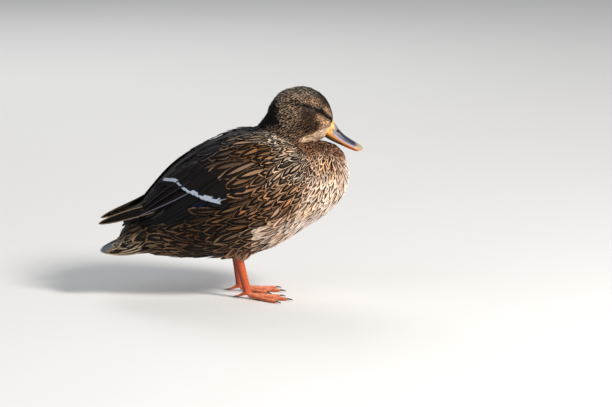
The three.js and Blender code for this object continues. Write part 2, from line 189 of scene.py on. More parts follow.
# Landmarks, the same on both sides of her, in millimetres: where, how the feathers lie seen from her right
# (0 forwards, 90 up, 180 back), the gap between feathers across them and its ratio along them, the coat's
# depth, the pale and dark colours, and a feather's marks: how far its dark middle reaches, how clear the
# pale tongue in it is, and the dark middle's share of the width.
PLACES = {
    "lores": ((118, 7, 206), 160, 1.0, 1.9, 0.5, "eac4a0", "6e4c36", (0.65, 0, 0.6)),
    "forehead": ((113, 0, 229), 130, 1.2, 1.9, 0.8, "6e5a4c", "0e0805", (1.05, 0, 0.95)),
    "crown": ((90, 0, 249), 178, 1.6, 2.0, 1.3, "c4b8a8", "110b08", (0.95, 0, 0.75)),
    "crown_back": ((62, 0, 244), 205, 1.7, 2.0, 1.6, "a0948a", "0d0907", (0.97, 0, 0.78)),
    "eye": ((94.5, 20, 225), 195, 1.0, 1.9, 0.5, "8c705a", "1a100b", (0.85, 0, 0.8)),
    "temple": ((74, 18, 234), 190, 1.6, 2.1, 1.2, "ccae92", "140c07", (0.92, 0, 0.75)),
    "cheek": ((93, 20, 207), 196, 1.35, 2.1, 1.1, "8c694f", "110905", (1.0, 0, 0.82)),
    "ear": ((68, 23, 215), 200, 1.7, 2.1, 1.5, "ccac90", "130b07", (0.95, 0, 0.75)),
    "chin": ((106, 8, 192), 190, 1.1, 1.9, 0.8, "f2caa4", "b0845f", (0.4, 0, 0.6)),
    "throat": ((88, 17, 191), 200, 1.3, 2.0, 1.2, "b48c6c", "20120b", (0.9, 0, 0.75)),
    "jowl": ((66, 24, 196), 207, 1.75, 2.1, 1.6, "c8a88c", "120a06", (0.95, 0, 0.76)),
    # The nape's near black is its own dark brown with painted shade over it.
    "nape_and_shade": ((46, 0, 226), 250, 1.7, 2.1, 2.0, "26231f", "060505", (1.1, 0, 1.0)),
    "neck_back": ((30, 0, 215), 225, 2.6, 1.8, 2.8, "c4b09a", "0a0807", (0.98, 0, 0.85)),
    "neck_side": ((52, 22, 188), 218, 2.8, 1.9, 2.6, "f0d8c0", "100907", (0.95, 0.2, 0.92)),
    "collar": ((92, 22, 180), 262, 1.9, 1.4, 2.0, "a87a5c", "200c05", (0.9, 0, 0.9)),
    "upper_breast": ((121, 8, 178), 306, 2.0, 1.5, 2.4, "b48468", "200d06", (0.88, 0, 0.8)),
    "breast_top": ((108, 38, 163), 250, 2.6, 1.7, 3.2, "dcb492", "24110a", (0.85, 0.1, 0.55)),
    "breast_front": ((139, 0, 148), 272, 2.7, 1.7, 3.6, "fff0e0", "835845", (0.6, 0, 0.24)),
    "breast_side": ((112, 48, 128), 232, 3.3, 1.9, 4.0, "fce4ce", "5e3c2b", (0.74, 0, 0.32)),
    "breast_low": ((118, 12, 106), 224, 3.7, 1.9, 4.2, "ffeedf", "6a4632", (0.6, 0, 0.24)),
    "belly_fore": ((74, 25, 80), 200, 4.6, 2.0, 4.6, "fdeadb", "8a6752", (0.55, 0, 0.24)),
    "breast_rear": ((88, 58, 108), 218, 4.4, 2.0, 4.5, "f2d6bc", "6a4936", (0.72, 0.2, 0.34)),
    "belly_side": ((42, 46, 80), 194, 5.0, 2.1, 4.7, "e8ceb6", "6c4e38", (0.74, 0.2, 0.34)),
    "belly": ((15, 0, 53), 182, 5.4, 2.0, 4.8, "bea288", "563a2a", (0.85, 0, 0.5)),
    "flank_fore": ((66, 62, 122), 212, 4.8, 2.2, 4.6, "cc986e", "0c0504", (1.1, 0.6, 0.95)),
    "flank_mid": ((24, 64, 112), 200, 5.4, 2.5, 4.8, "b0805a", "090402", (1.2, 0.85, 1.2)),
    # flank_back and flank_rear darken towards the tail: partly the feathers' own brown, partly painted shade
    # of the rear body.
    "flank_back": ((-4, 60, 100), 194, 5.6, 2.5, 4.8, "745438", "080403", (1.25, 0.8, 1.3)),
    "flank_low": ((10, 50, 76), 190, 5.4, 2.4, 4.8, "a07c5c", "120a06", (1.1, 0.5, 1.0)),
    "flank_rear": ((-40, 52, 84), 186, 6.0, 2.5, 4.8, "5a4029", "080504", (1.22, 0.6, 1.1)),
    "thigh": ((-30, 30, 56), 184, 5.6, 2.1, 4.6, "5e4a3a", "0f0a07", (1.15, 0.4, 1)),
    "vent": ((-75, 20, 50), 182, 5.8, 2.1, 4.4, "8a6e54", "0c0807", (1.1, 0.4, 0.95)),
    "undertail": ((-118, 8, 54), 180, 5.6, 2.2, 3.4, "d2ba9c", "1a1412", (0.92, 0.3, 0.7)),
    "shoulder": ((70, 50, 165), 214, 4.0, 2.1, 4.0, "e8ccb0", "0a0503", (1.1, 0.5, 0.98)),
    "mantle": ((34, 28, 192), 202, 4.8, 2.3, 3.8, "d2baa2", "060403", (1.2, 0.3, 1.3)),
    "scapulars": ((28, 46, 176), 199, 7.0, 2.5, 4.6, "a06e42", "060403", (1.25, 1, 1.4)),
    # back_fore and back: dark feathers whose pale rims are tinted blue-grey, a painted sheen on their edges.
    "back_fore": ((22, 4, 203), 196, 5.0, 2.3, 3.8, "5e6470", "060609", (1.25, 0, 1.5)),
    "back": ((-30, 10, 190), 203, 6.0, 2.4, 4.2, "484c5a", "060609", (1.25, 0, 1.7)),
    "rump": ((-85, 10, 144), 216, 6.0, 2.1, 4.0, "36302c", "070606", (1.25, 0.2, 1.5)),
    "uppertail": ((-112, 10, 90), 222, 5.6, 2.1, 3.0, "5a4a3c", "0b0908", (1.2, 0.3, 1.2)),
    "shank": ((7, 24, 54), 255, 2.4, 1.6, 2.0, "a8856a", "4e3526", (0.7, 0, 0.8)),
}
HEAD_PLACES = 12  # the first so many count only above the fold where the head rests on the body
# The x and z of that fold.
JAW = np.array([(25, 210), (38, 204), (48, 200), (60, 194.5), (74, 188.5), (84, 187), (125, 186.5)]).T
SPOTS = np.array([place[0] for place in PLACES.values()], float)


def ease(low, high, values):
    """Rises smoothly from 0 to 1 as values go from low to high."""
    t = np.clip((values - low) / (high - low), 0, 1)
    return t * t * (3 - 2 * t)


def over_jaw(points):
    """How many millimetres points, in metres, lie above the fold under the jaw."""
    return points[..., 2] / MM - np.interp(points[..., 0] / MM, *JAW)


def above_jaw(points):
    """1 on the head and 0 below the fold under the jaw."""
    return ease(-1.2, 1.2, over_jaw(points))


def blend(points, values):
    """The landmarks' values at each point in metres: the nearest counts most, with a step only at the jaw."""
    p = points / MM
    p = np.stack([p[:, 0], np.abs(p[:, 1]), p[:, 2]], 1)
    away = np.linalg.norm(p[:, None] - SPOTS[None], axis=2) + 0.5
    weight = away ** -5
    head = above_jaw(points)[:, None]
    weight[:, :HEAD_PLACES] *= head + 1e-9
    weight[:, HEAD_PLACES:] *= 1 - head + 1e-9
    weight /= weight.sum(1, keepdims=True)
    return weight @ np.asarray(values, float)


LIE = np.radians([place[1] for place in PLACES.values()])
LIE_VECTORS = np.stack([np.cos(LIE), np.zeros(len(LIE)), np.sin(LIE)], 1)
GAPS = [place[2] * MM for place in PLACES.values()]
STRETCHES = [place[3] for place in PLACES.values()]
COATS = [place[4] * MM for place in PLACES.values()]
PALE = [tint(place[5]) for place in PLACES.values()]
DARK = [tint(place[6]) for place in PLACES.values()]
MARKS = [place[7] for place in PLACES.values()]


def lid_axes(points):
    """Places along and across the slit between the lids, in millimetres from its middle, from the side."""
    side = points[:, [0, 2]] / MM - SLIT_MIDDLE
    return side @ np.array(((cos(SLIT_FALL), sin(SLIT_FALL)), (-sin(SLIT_FALL), cos(SLIT_FALL))))


def mesh_arrays(mesh):
    """The places and normals of a mesh's vertices."""
    places = np.empty(len(mesh.vertices) * 3)
    normals = np.empty(len(mesh.vertices) * 3)
    mesh.vertices.foreach_get("co", places)
    mesh.vertices.foreach_get("normal", normals)
    return places.reshape(-1, 3), normals.reshape(-1, 3)


def move_vertices(mesh, places):
    mesh.vertices.foreach_set("co", places.ravel())
    mesh.update()


def select_only(piece):
    """Selects one object, and nothing else."""
    bpy.ops.object.select_all(action="DESELECT")
    piece.select_set(True)
    bpy.context.view_layer.objects.active = piece


def modify(piece, kind, **settings):
    """Adds a modifier and applies it."""
    select_only(piece)
    modifier = piece.modifiers.new(kind.lower(), kind)
    for key, value in settings.items():
        setattr(modifier, key, value)
    bpy.ops.object.modifier_apply(modifier=modifier.name)


def joined_flesh():
    """The flesh's solids as one object, each grown past the hair's gap between them."""
    copies = []
    for name in FLESH + BULGES:
        copy = bpy.data.objects.new("flesh_" + name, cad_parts[name].data.copy())
        bpy.context.collection.objects.link(copy)
        select_only(copy)
        bpy.ops.object.mode_set(mode="EDIT")
        bpy.ops.mesh.select_all(action="SELECT")
        bpy.ops.mesh.remove_doubles(threshold=0.01 * MM)
        bpy.ops.object.mode_set(mode="OBJECT")
        places, normals = mesh_arrays(copy.data)
        places += GROWTH * normals
        past = np.minimum(places[:, 0] - TAIL_STUMP, 0)
        places[:, 0] -= (1 - STUMP_SHARE) * past
        move_vertices(copy.data, places)
        copies.append(copy)
    bpy.ops.object.select_all(action="DESELECT")
    for copy in copies:
        copy.select_set(True)
    bpy.context.view_layer.objects.active = copies[0]
    bpy.ops.object.join()
    return copies[0]


skin = joined_flesh()
skin.name = "skin"
modify(skin, "REMESH", mode="VOXEL", voxel_size=VOXEL)
modify(skin, "SMOOTH", factor=0.5, iterations=9)
hull_places, hull_normals = mesh_arrays(skin.data)
move_vertices(skin.data, hull_places - hull_normals * blend(hull_places, COATS)[:, None])
modify(skin, "SMOOTH", factor=0.5, iterations=4)
skin_places, skin_normals = mesh_arrays(skin.data)
forward = skin_places[:, 0] / MM
fold = np.exp(-(((over_jaw(skin_places) + FOLD_DROP) / FOLD_WIDTH) ** 2))
fold *= ease(34, 48, forward) * (forward < 118)
skin_places -= FOLD_DEPTH * fold[:, None] * skin_normals
orbit = np.exp(-(((lid_axes(skin_places) / ORBIT_SIZE) ** 2).sum(1) ** 2))
orbit *= np.abs(skin_places[:, 1]) > 8 * MM
skin_places -= ORBIT_DEPTH * orbit[:, None] * skin_normals
move_vertices(skin.data, skin_places)
skin.data.shade_smooth()
skin.data.materials.clear()
skin.data.calc_loop_triangles()
skin_places, skin_normals = mesh_arrays(skin.data)
skin_triangles = np.empty(len(skin.data.loop_triangles) * 3, int)
skin.data.loop_triangles.foreach_get("vertices", skin_triangles)
skin_triangles = skin_triangles.reshape(-1, 3)
skin_tree = BVHTree.FromPolygons(skin_places.tolist(), skin_triangles.tolist())


def nearest(points):
    """For each point, the nearest one on the skin and the skin's outward direction there."""
    flat = points.reshape(-1, 3)
    places = np.empty_like(flat)
    normals = np.empty_like(flat)
    for i, point in enumerate(flat.tolist()):
        place, normal, _, _ = skin_tree.find_nearest(point)
        places[i] = place
        normals[i] = normal
    return places.reshape(points.shape), normals.reshape(points.shape)


def unit(vectors):
    """The same directions, each one long."""
    return vectors / np.maximum(np.linalg.norm(vectors, axis=-1, keepdims=True), 1e-12)


def along_skin(vectors, normals):
    """Directions laid flat on a surface that faces the normals."""
    return unit(vectors - normals * (vectors * normals).sum(-1, keepdims=True))


def dye(colours, code, share):
    """Colours turned towards the one of this code, by a share from 0 to 1 for each."""
    return colours + (np.array(tint(code)) - colours) * np.clip(share, 0, 1)[..., None]


EYE_LINE = [(119.4, 210.5), (112, 216), (106, 221.5), (100, 223.4), (95, 226.6), (86, 229.5)]  # its x, z


def head_markings(points, pale, dark, marks):
    """The face's own markings, such as the line through the eye, the brow over it and the pale chin."""
    p = points / MM
    on_head = above_jaw(points)

    def near_line(start, end, width):
        """1 on the line between two places (x, z) of the head, falling off over the width."""
        side = p[:, [0, 2]] - start
        run = np.subtract(end, start)
        share = np.clip(side @ run / (run @ run), 0, 1)
        away = np.linalg.norm(side - share[:, None] * run, axis=1)
        return np.exp(-((away / width) ** 2)) * on_head

    def wash(share, pale_code, dark_code):
        pale[:] = dye(pale, pale_code, share)
        dark[:] = dye(dark, dark_code, share)

    cheek = np.exp(-(((p[:, 0] - 94) / 11) ** 2 + ((p[:, 2] - 207) / 9) ** 2)) * on_head
    wash(0.75 * cheek, "5e4230", "100805")
    under_eye = near_line((98, 217.5), (88, 219.5), 4.2)
    wash(under_eye, "4c392d", "271a13")
    brow = near_line((103, 232), (88, 235), 4.2)
    wash(0.9 * brow, "deb592", "382519")
    before_eye = near_line((114.5, 221.5), (110.5, 225.5), 3.0)
    wash(before_eye, "e6be96", "8c6a4c")
    marks[:, 0] -= 0.2 * before_eye
    crown = np.exp(-((p[:, 1] / 8) ** 2)) * ease(208, 216, p[:, 2]) * ease(70, 96, p[:, 0])
    wash(0.8 * crown, "4c3e34", "0b0706")
    forehead = near_line((115, 230), (104, 243), 4)
    wash(0.8 * forehead, "3c3029", "0a0605")
    lores = near_line((113, 207), (103, 214), 3.6)
    wash(lores, "e2b890", "745640")
    marks[:, 0] -= 0.1 * lores
    line = 0.6 * near_line((86, 229.5), (64, 232), 3.0)
    for start, end in zip(EYE_LINE, EYE_LINE[1:]):
        line = np.maximum(line, near_line(start, end, 2.5))
    wash(1.2 * line, "120b08", "060403")
    brim = p[:, 2] - np.interp(p[:, 0], (60, 78, 88, 98, 112), (182, 187.5, 193, 196.5, 202))
    chin = (1 - ease(-2, 2, brim)) * on_head * ease(66, 86, p[:, 0])
    wash(chin, "ffe0be", "ecbc92")
    marks[:, 0] += (0.42 - marks[:, 0]) * chin
    # Near black over the nape: its own dark brown with painted shade over it.
    nape_and_shade = (1 - ease(50, 60, p[:, 0] + 0.3 * (p[:, 2] - 226))) * ease(200, 208, p[:, 2]) * on_head
    wash(nape_and_shade, "17171b", "040405")
    return pale, dark, marks


def markings(points):
    """The colours and feather marks of the coat at each point, the same for feathers and skin."""
    pale, dark, marks = blend(points, PALE), blend(points, DARK), blend(points, MARKS)
    return head_markings(points, pale, dark, marks)


def add_colours(mesh, name, values):
    """Writes a colour for each vertex, with a fourth number if given."""
    layer = mesh.color_attributes.new(name, "FLOAT_COLOR", "POINT")
    full = np.ones((len(values), 4))
    full[:, :values.shape[1]] = values
    layer.data.foreach_set("color", full.ravel())


skin_pale, skin_dark, _ = markings(skin_places)
add_colours(skin.data, "pale", skin_pale)
add_colours(skin.data, "dark", skin_dark)

skin_paint = Paint("downy_skin", Roughness=0.8)
skin_down = skin_paint.noise(900, 4)
skin_shade = skin_paint.step(skin_down, 0.4, 0.6, 0.1, 0.4)
skin_colour = skin_paint.mix(skin_shade, skin_paint.attribute("dark"), skin_paint.attribute("pale"))
skin.data.materials.append(skin_paint.finish(skin_colour, skin_down, depth=0.3 * MM, strength=0.6))
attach(skin, "root")
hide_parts(*[name for name in FLESH if name != "tail"])

# ---- Contour feathers: some thousands of small vanes laid over the skin like shingles ----
# Each grows from its root along the lie of the coat, rises to the coat's full depth at its tip and arches
# a little across. Those of the face are a few millimetres long, those of the flanks some four centimetres.

rng = np.random.default_rng(41)
ROOTS_TRIED = 150000
LOWEST = 0.05 * MM  # how close to the skin a feather may lie
THICKEST = 0.25 * MM  # a feather's greatest thickness
TUFT_PATCH = 0.003  # of the unit square, for each contour feather
BODY_AXIS = (102, 0.27)  # its height at x = 0, in millimetres, and how it rises forwards
ROWS = np.array([0, 0.2, 0.36, 0.48, 0.58, 0.66, 0.74, 0.81, 0.87, 0.92, 0.96, 0.985, 1])
FEW_ROWS = np.array([0, 0.36, 0.6, 0.78, 0.9, 0.97, 1])


def axis_height(x):
    return BODY_AXIS[0] + BODY_AXIS[1] * x


def over_axis(points):
    """How many millimetres points, in metres, lie above the body's long axis."""
    return points[..., 2] / MM - axis_height(points[..., 0] / MM)


def blade(rows, tip=0.5, root=0.42, blunt=2.0):
    """A vane's half width along it: widening from the quill, rounded at the tip."""
    swell = root + (1 - root) * ease(0, 0.45, rows)
    end = np.clip((rows - tip) / (1 - tip), 0, 1)
    return swell * np.maximum(1 - end ** blunt, 0.0144) ** 0.5


def flow(points, normals, swing=0):
    """The way the feathers lie at points on the skin, turned by an angle if given."""
    ahead = along_skin(blend(points, LIE_VECTORS), normals)
    swing = np.broadcast_to(swing, len(points))[:, None]
    return ahead * np.cos(swing) + np.cross(normals, ahead) * np.sin(swing)


def sow(count, allowed):
    """Roots strewn over the skin where allowed, each keeping the gap that its place asks for."""
    corners = skin_places[skin_triangles]
    crosses = np.cross(corners[:, 1] - corners[:, 0], corners[:, 2] - corners[:, 0])
    middles = corners.mean(1)
    gaps = blend(middles, np.stack([GAPS, STRETCHES], 1))
    weights = np.linalg.norm(crosses, axis=1) / (gaps[:, 0] ** 2 * gaps[:, 1])
    weights *= allowed(middles)
    picks = rng.choice(len(weights), count, p=weights / weights.sum())
    a, b = rng.random((2, count, 1))
    folded = a + b > 1
    a, b = np.where(folded, 1 - a, a), np.where(folded, 1 - b, b)
    tri = corners[picks]
    points = tri[:, 0] + a * (tri[:, 1] - tri[:, 0]) + b * (tri[:, 2] - tri[:, 0])
    normals = unit(crosses[picks])
    ahead = flow(points, normals)
    gaps = blend(points, np.stack([GAPS, STRETCHES], 1))
    tree = KDTree(count)
    for i, point in enumerate(points.tolist()):
        tree.insert(point, i)
    tree.balance()
    free = np.ones(count, bool)
    chosen = []
    for i in range(count):
        if not free[i]:
            continue
        chosen.append(i)
        gap, stretch = gaps[i]
        close = np.array([found[1] for found in tree.find_range(points[i], gap * stretch)])
        offsets = points[close] - points[i]
        along = offsets @ ahead[i]
        across = (offsets ** 2).sum(1) - along ** 2
        free[close[across / gap ** 2 + (along / (gap * stretch)) ** 2 < 1]] = False
    return points[chosen]


def afloat(points):
    """How far points have left the fleshy tail, where feathers stand off straight: 0 on it, 1 beyond."""
    return ease(113 * MM, 131 * MM, -points[..., 0])[..., None]


def overhang(points):
    """The same for the head's feathers, which also stand off past the fold under the jaw."""
    return np.maximum(afloat(points), 1 - above_jaw(points)[..., None])


def walk(roots, lengths, rows, swing, leave):
    """Lines over the skin from the roots along the lie of the coat, one place for each row. They go straight
    on where they leave the skin."""
    places, normals = nearest(roots)
    line = [places]
    ahead = flow(places, normals, swing)
    for step in np.diff(rows):
        free = leave(places)
        ahead = unit(flow(places, normals, swing) * (1 - free) + ahead * free)
        straight = places + ahead * (step * lengths)[:, None]
        close, new_normals = nearest(straight)
        free = leave(straight)
        places = close * (1 - free) + straight * free
        normals = unit(new_normals * (1 - free) + normals * free)
        line.append(places)
    return np.stack(line, 1)


def sheet_faces(index, flip=False):
    """Quads between the rows and columns of vertex numbers, turned over if asked."""
    ring = [index[:-1, :-1], index[:-1, 1:], index[1:, 1:], index[1:, :-1]]
    return np.stack(ring[::-1] if flip else ring, -1).reshape(-1, 4)


def grid_faces(count, rows, columns):
    """Quads of many closed vanes: a top sheet of rows x columns and an underside that shares its rim."""
    top = np.arange(rows * columns).reshape(rows, columns)
    under = top.copy()
    inner = (rows - 2) * (columns - 2)
    under[1:-1, 1:-1] = rows * columns + np.arange(inner).reshape(rows - 2, columns - 2)
    one = np.concatenate([sheet_faces(top), sheet_faces(under, True)])
    size = rows * columns + inner
    return (one[None] + (np.arange(count) * size)[:, None, None]).reshape(-1, 4), size


def make_mesh(name, places, faces):
    """A mesh of quads from arrays, smooth all over."""
    mesh = bpy.data.meshes.new(name)
    mesh.vertices.add(len(places))
    mesh.vertices.foreach_set("co", places.ravel())
    mesh.loops.add(faces.size)
    mesh.loops.foreach_set("vertex_index", faces.ravel().astype(np.int32))
    mesh.polygons.add(len(faces))
    mesh.polygons.foreach_set("loop_start", np.arange(0, faces.size, 4, dtype=np.int32))
    mesh.polygons.foreach_set("use_smooth", np.ones(len(faces), bool))
    mesh.update(calc_edges=True)
    return mesh


def add_map(mesh, name, places, faces):
    """Writes a UV map, from a place for each vertex."""
    layer = mesh.uv_layers.new(name=name)
    layer.data.foreach_set("uv", places[faces.ravel()].ravel().astype(np.float32))


def strips(count):
    """Corners and size of patches in the unit square for a few large blades, as big as fit side by side."""
    across = int(np.ceil(np.sqrt(count)))
    order = np.arange(count)
    return np.stack([order % across, order // across], 1) / across, 1 / across


def add_piece(name, mesh, material):
    """A piece with its finish, which rides on the body."""
    mesh.materials.append(material)
    piece = bpy.data.objects.new(name, mesh)
    bpy.context.collection.objects.link(piece)
    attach(piece, "root")
    return piece


def run_along(line):
    """How far along a line each of its points lies."""
    return np.concatenate([[0], np.cumsum(np.linalg.norm(np.diff(line, axis=0), axis=1))])


def vanes(name, line, spans, heights, under, colours, material, patches, leave=None, ups=None):
    """Closed vanes along lines (feathers x rows): places across, heights over the skin (feathers x rows x
    columns) and thickness; colours are the pale, dark and mark numbers of each feather. They lie on the skin
    up to where they leave it, or face ups instead."""
    count, rows, columns = heights.shape
    across = np.linspace(-1, 1, columns)
    ahead = np.gradient(line, axis=1)
    if ups is None:
        _, ups = nearest(line)
        free = leave(line)
        ups = ups * (1 - free) + along_skin(ups[:, :1], unit(ahead)) * free
    ups = unit(ups)
    sideways = unit(np.cross(ahead, ups))
    top = line[:, :, None] + sideways[:, :, None] * spans[..., None]
    up = np.broadcast_to(ups[:, :, None], top.shape)
    if leave is not None:
        close, out = nearest(top)
        free = leave(top)
        top = close * (1 - free) + top * free
        up = unit(out * (1 - free) + up * free)
    top = top + up * heights[..., None]
    low = (top - up * under[..., None])[:, 1:-1, 1:-1]
    places = np.concatenate([top.reshape(count, -1, 3), low.reshape(count, -1, 3)], 1)
    faces, size = grid_faces(count, rows, columns)
    mesh = make_mesh(name, places.reshape(-1, 3), faces)
    run = run_along(line[0])
    u, v = np.broadcast_arrays((across + 1) / 2, (run / run[-1])[:, None])
    vane = np.stack([u, v], -1)
    vane = np.concatenate([vane.reshape(-1, 2), vane[1:-1, 1:-1].reshape(-1, 2)])
    add_map(mesh, "vane", np.tile(vane, (count, 1)), faces)
    corners, side = patches
    patch = 0.05 + 0.9 * vane
    add_map(mesh, "OFBake", (corners[:, None] + patch[None] * side).reshape(-1, 2), faces)
    for key, values in zip(("pale", "dark", "mark"), colours):
        add_colours(mesh, key, np.repeat(values, size, axis=0))
    return add_piece(name, mesh, material)


def vane_places(paint, tilt, barbs, across):
    """On a vane: how far out from the shaft, how far along, the feather's luck and the barbs' streaks."""
    vane = paint.node("ShaderNodeSeparateXYZ", Vector=paint.node("ShaderNodeUVMap", uv_map="vane").outputs[0])
    out = paint.math("ABSOLUTE", paint.math("MULTIPLY_ADD", vane.outputs[0], 2, -1))
    along = vane.outputs[1]
    luck = paint.attribute("mark", "Alpha")
    slant = paint.math("MULTIPLY_ADD", out, -tilt, along)
    place = paint.node("ShaderNodeCombineXYZ", X=paint.math("MULTIPLY", slant, barbs),
                       Y=paint.math("MULTIPLY", luck, 90), Z=paint.math("MULTIPLY", out, across))
    return out, along, luck, paint.noise(1, 2, place.outputs[0])


def coat_material(name, barbs=80, shaft=0.25, tipward=1):
    """A vane's colours: a dark middle in a pale rim, with a pale tongue inside it if asked."""
    paint = Paint(name, Roughness=0.7, Specular_IOR_Level=0.1)
    out, along, _, barb = vane_places(paint, 0.3, barbs, 1.5)
    centre, band, slim = paint.node("ShaderNodeSeparateColor", Color=paint.attribute("mark")).outputs
    bend = paint.math("MULTIPLY", paint.math("POWER", out, 1.35), 0.8)
    rise = paint.math("POWER", paint.step(along, 0.3, 1.06), 1.5)
    reach = paint.math("MULTIPLY_ADD", rise, tipward,
                       paint.math("MULTIPLY_ADD", barb, 0.26 * tipward, -0.13 * tipward))

    def bowl(wide, low, high):
        """1 round the shaft's root, falling to 0 towards the tip and towards this share of the width."""
        depth = paint.math("DIVIDE", paint.math("ADD", reach, paint.math("DIVIDE", bend, wide)), centre)
        return paint.step(depth, low, high, 1, 0)

    end = paint.math("MAXIMUM", paint.math("MULTIPLY_ADD", along, 2, -1), 0)
    narrow = paint.math("SQRT", paint.math("MULTIPLY_ADD", paint.math("MULTIPLY", end, end), -0.98, 1))
    inward = paint.math("MULTIPLY", paint.math("MULTIPLY", paint.math("SUBTRACT", 1, out), narrow), slim)
    inward = paint.math("MULTIPLY_ADD", barb, 0.06, inward)
    middle = paint.math("MULTIPLY", bowl(slim, 0.93, 1.1), paint.step(inward, 0.18, 0.27))
    tongue = paint.math("MULTIPLY", bowl(0.3, 0.42, 0.56), band)
    middle = paint.math("MULTIPLY", middle, paint.math("MULTIPLY_ADD", tongue, -1, 1))
    colour = paint.mix(middle, paint.attribute("pale"), paint.attribute("dark"))
    colour = paint.mix(paint.step(barb, 0.25, 0.75, 0, 0.3), colour, (0.016, 0.011, 0.008))
    height = paint.math("ADD", barb, paint.step(out, 0, 0.1, shaft, 0))
    return paint.finish(colour, height, depth=0.25 * MM, strength=0.5)


COAT = coat_material("contour_feather")


def spread(values, share):
    """Numbers near values, each off by up to the given share."""
    return values * (1 + share * rng.uniform(-1, 1, len(values)))


def tuft_patches(roots):
    """Corners and size of small patches in the unit square, each at its root's place on an unwrap of the
    skin: along the body's or the head's long axis, and round it from the underside."""
    p = roots / MM
    head = above_jaw(roots) > 0.5
    along = np.where(head, p[:, 0], p[:, 0] - 0.6 * p[:, 2])
    height = np.where(head, p[:, 2] - 216, over_axis(roots))
    places = np.stack([along, np.arctan2(p[:, 1], height)], 1)
    low, high = places.min(0), places.max(0)
    return (places - low) / (high - low) * (1 - TUFT_PATCH), TUFT_PATCH


def room_to_tail_tip(points):
    """How far points lie ahead of where the coat ends over the tail's fan, which stays bare at its tips."""
    p = points / MM
    end = np.interp(p[:, 2], (54, 68, 84), (151, 146, 141)) - 11 * (p[:, 1] / 36) ** 2
    return (p[:, 0] + end) * MM


def clothe(name, roots, rows=ROWS, columns=7, long=2.8, wide=1.95, swing=15, leave=afloat,
           contrast=0.25):
    """Covers a region with contour feathers grown from the given roots. long and wide are their size in gaps,
    swing how many degrees they stray from the coat's lie, and contrast how much they differ in tone."""
    count = len(roots)
    sizes = blend(roots, np.stack([GAPS, STRETCHES, COATS], 1))
    gap = spread(sizes[:, 0], 0.16)
    length = spread(long * gap * sizes[:, 1], 0.14)
    room = np.maximum(room_to_tail_tip(roots), 12 * MM)
    gap = gap * np.minimum(room / length, 1) ** 0.5
    length = np.minimum(length, room)
    depth = sizes[:, 2]
    line = walk(roots, length, rows, radians(swing) * rng.uniform(-1, 1, count), leave)
    line[..., 1] *= 1 - 0.3 * ease(112 * MM, 150 * MM, -line[..., 0])
    half = wide * gap[:, None] * blade(rows)[None] / 2
    across = np.linspace(-1, 1, columns)
    spans = half[:, :, None] * across
    rims = 1 + 0.06 * rng.uniform(-1, 1, (count, len(rows), 2))
    spans[:, :, [0, -1]] *= rims - 0.3 * (rng.random((count, len(rows), 2)) < 0.1)
    rise = 0.1 + 0.9 * (1 - (1 - rows) ** 2.1)
    ruffle = 1 + 0.12 * rng.uniform(-1, 1, (count, 1)) + 0.22 * (rng.random((count, 1)) < 0.15) * rows ** 3
    heights = depth[:, None] * rise * ruffle
    camber = (0.16 * half * rows)[:, :, None] * across ** 2
    roll = (0.12 * half)[:, :, None] * across * rng.uniform(-1, 1, (count, 1, 1))
    heights = np.maximum(heights[:, :, None] - camber + roll, LOWEST)
    under = np.minimum(THICKEST, 0.4 * heights)
    seen = line[:, np.searchsorted(rows, 0.72)].copy()
    brink = np.interp(seen[:, 0] / MM, *JAW) + 1.3
    seen[:, 2] = np.where(above_jaw(roots) > 0.5, np.maximum(seen[:, 2], brink * MM), seen[:, 2])
    pale, dark, marks = markings(seen)
    luck = rng.random((count, 1))
    tone = 1 + contrast * rng.uniform(-1, 1, (count, 1))
    warmth = 1 + 0.12 * rng.uniform(-1, 1, (count, 1)) * np.array((1, 0, -1))
    varied = marks * (1 + np.array((0.2, 0.9, 0.22)) * rng.uniform(-1, 1, (count, 3)))
    colours = (pale * tone * warmth, dark * (0.8 + 0.4 * rng.random((count, 1))),
               np.concatenate([np.clip(varied, 0.01, 2), luck], 1))
    vanes(name, line, spans, heights, under, colours, COAT, tuft_patches(roots), leave)


def turn_of(points):
    """How far round the body's long axis points lie, in degrees up from the side."""
    return np.degrees(np.arctan2(over_axis(points), np.abs(points[:, 1] / MM)))


def wing_zone(points):
    """Whether points lie where the folded wing's own feathers cover the body."""
    x = points[:, 0] / MM
    turn = turn_of(points)
    low = np.interp(x, [-118, -106, -95, -60, -30, 0, 26, 40], [84, 50, 12, 5, 9, 14, 21, 48])
    ahead = x - (-9 - 1.55 * (turn - 21))
    high = np.interp(x, [-112, -84], [56, 84])
    return (turn > low) & (turn < high) & (ahead < 43) & (points[:, 2] > 0.06)


def eye_zone(points):
    """Whether points lie at the eyes, where lids leave no room for feathers."""
    return ((lid_axes(points) / (7.2, 3.4)) ** 2).sum(1) < 1


def bare_zone(points):
    """Whether points lie where no small feather grows: the wings, the eyes, the bill's root and the ends of
    the shanks and the tail."""
    p = points / MM
    bill = (p[:, 0] > 112.5) & (p[:, 2] > 189) & (p[:, 2] < 196 + 1.5 * (p[:, 0] - 111))
    leg = (p[:, 2] < 51) & (np.hypot(p[:, 0] - 8, np.abs(p[:, 1]) - 22) < 7)
    tail = p[:, 0] < np.where(p[:, 2] < 62, -120, -128)
    return wing_zone(points) | eye_zone(points) | bill | leg | tail


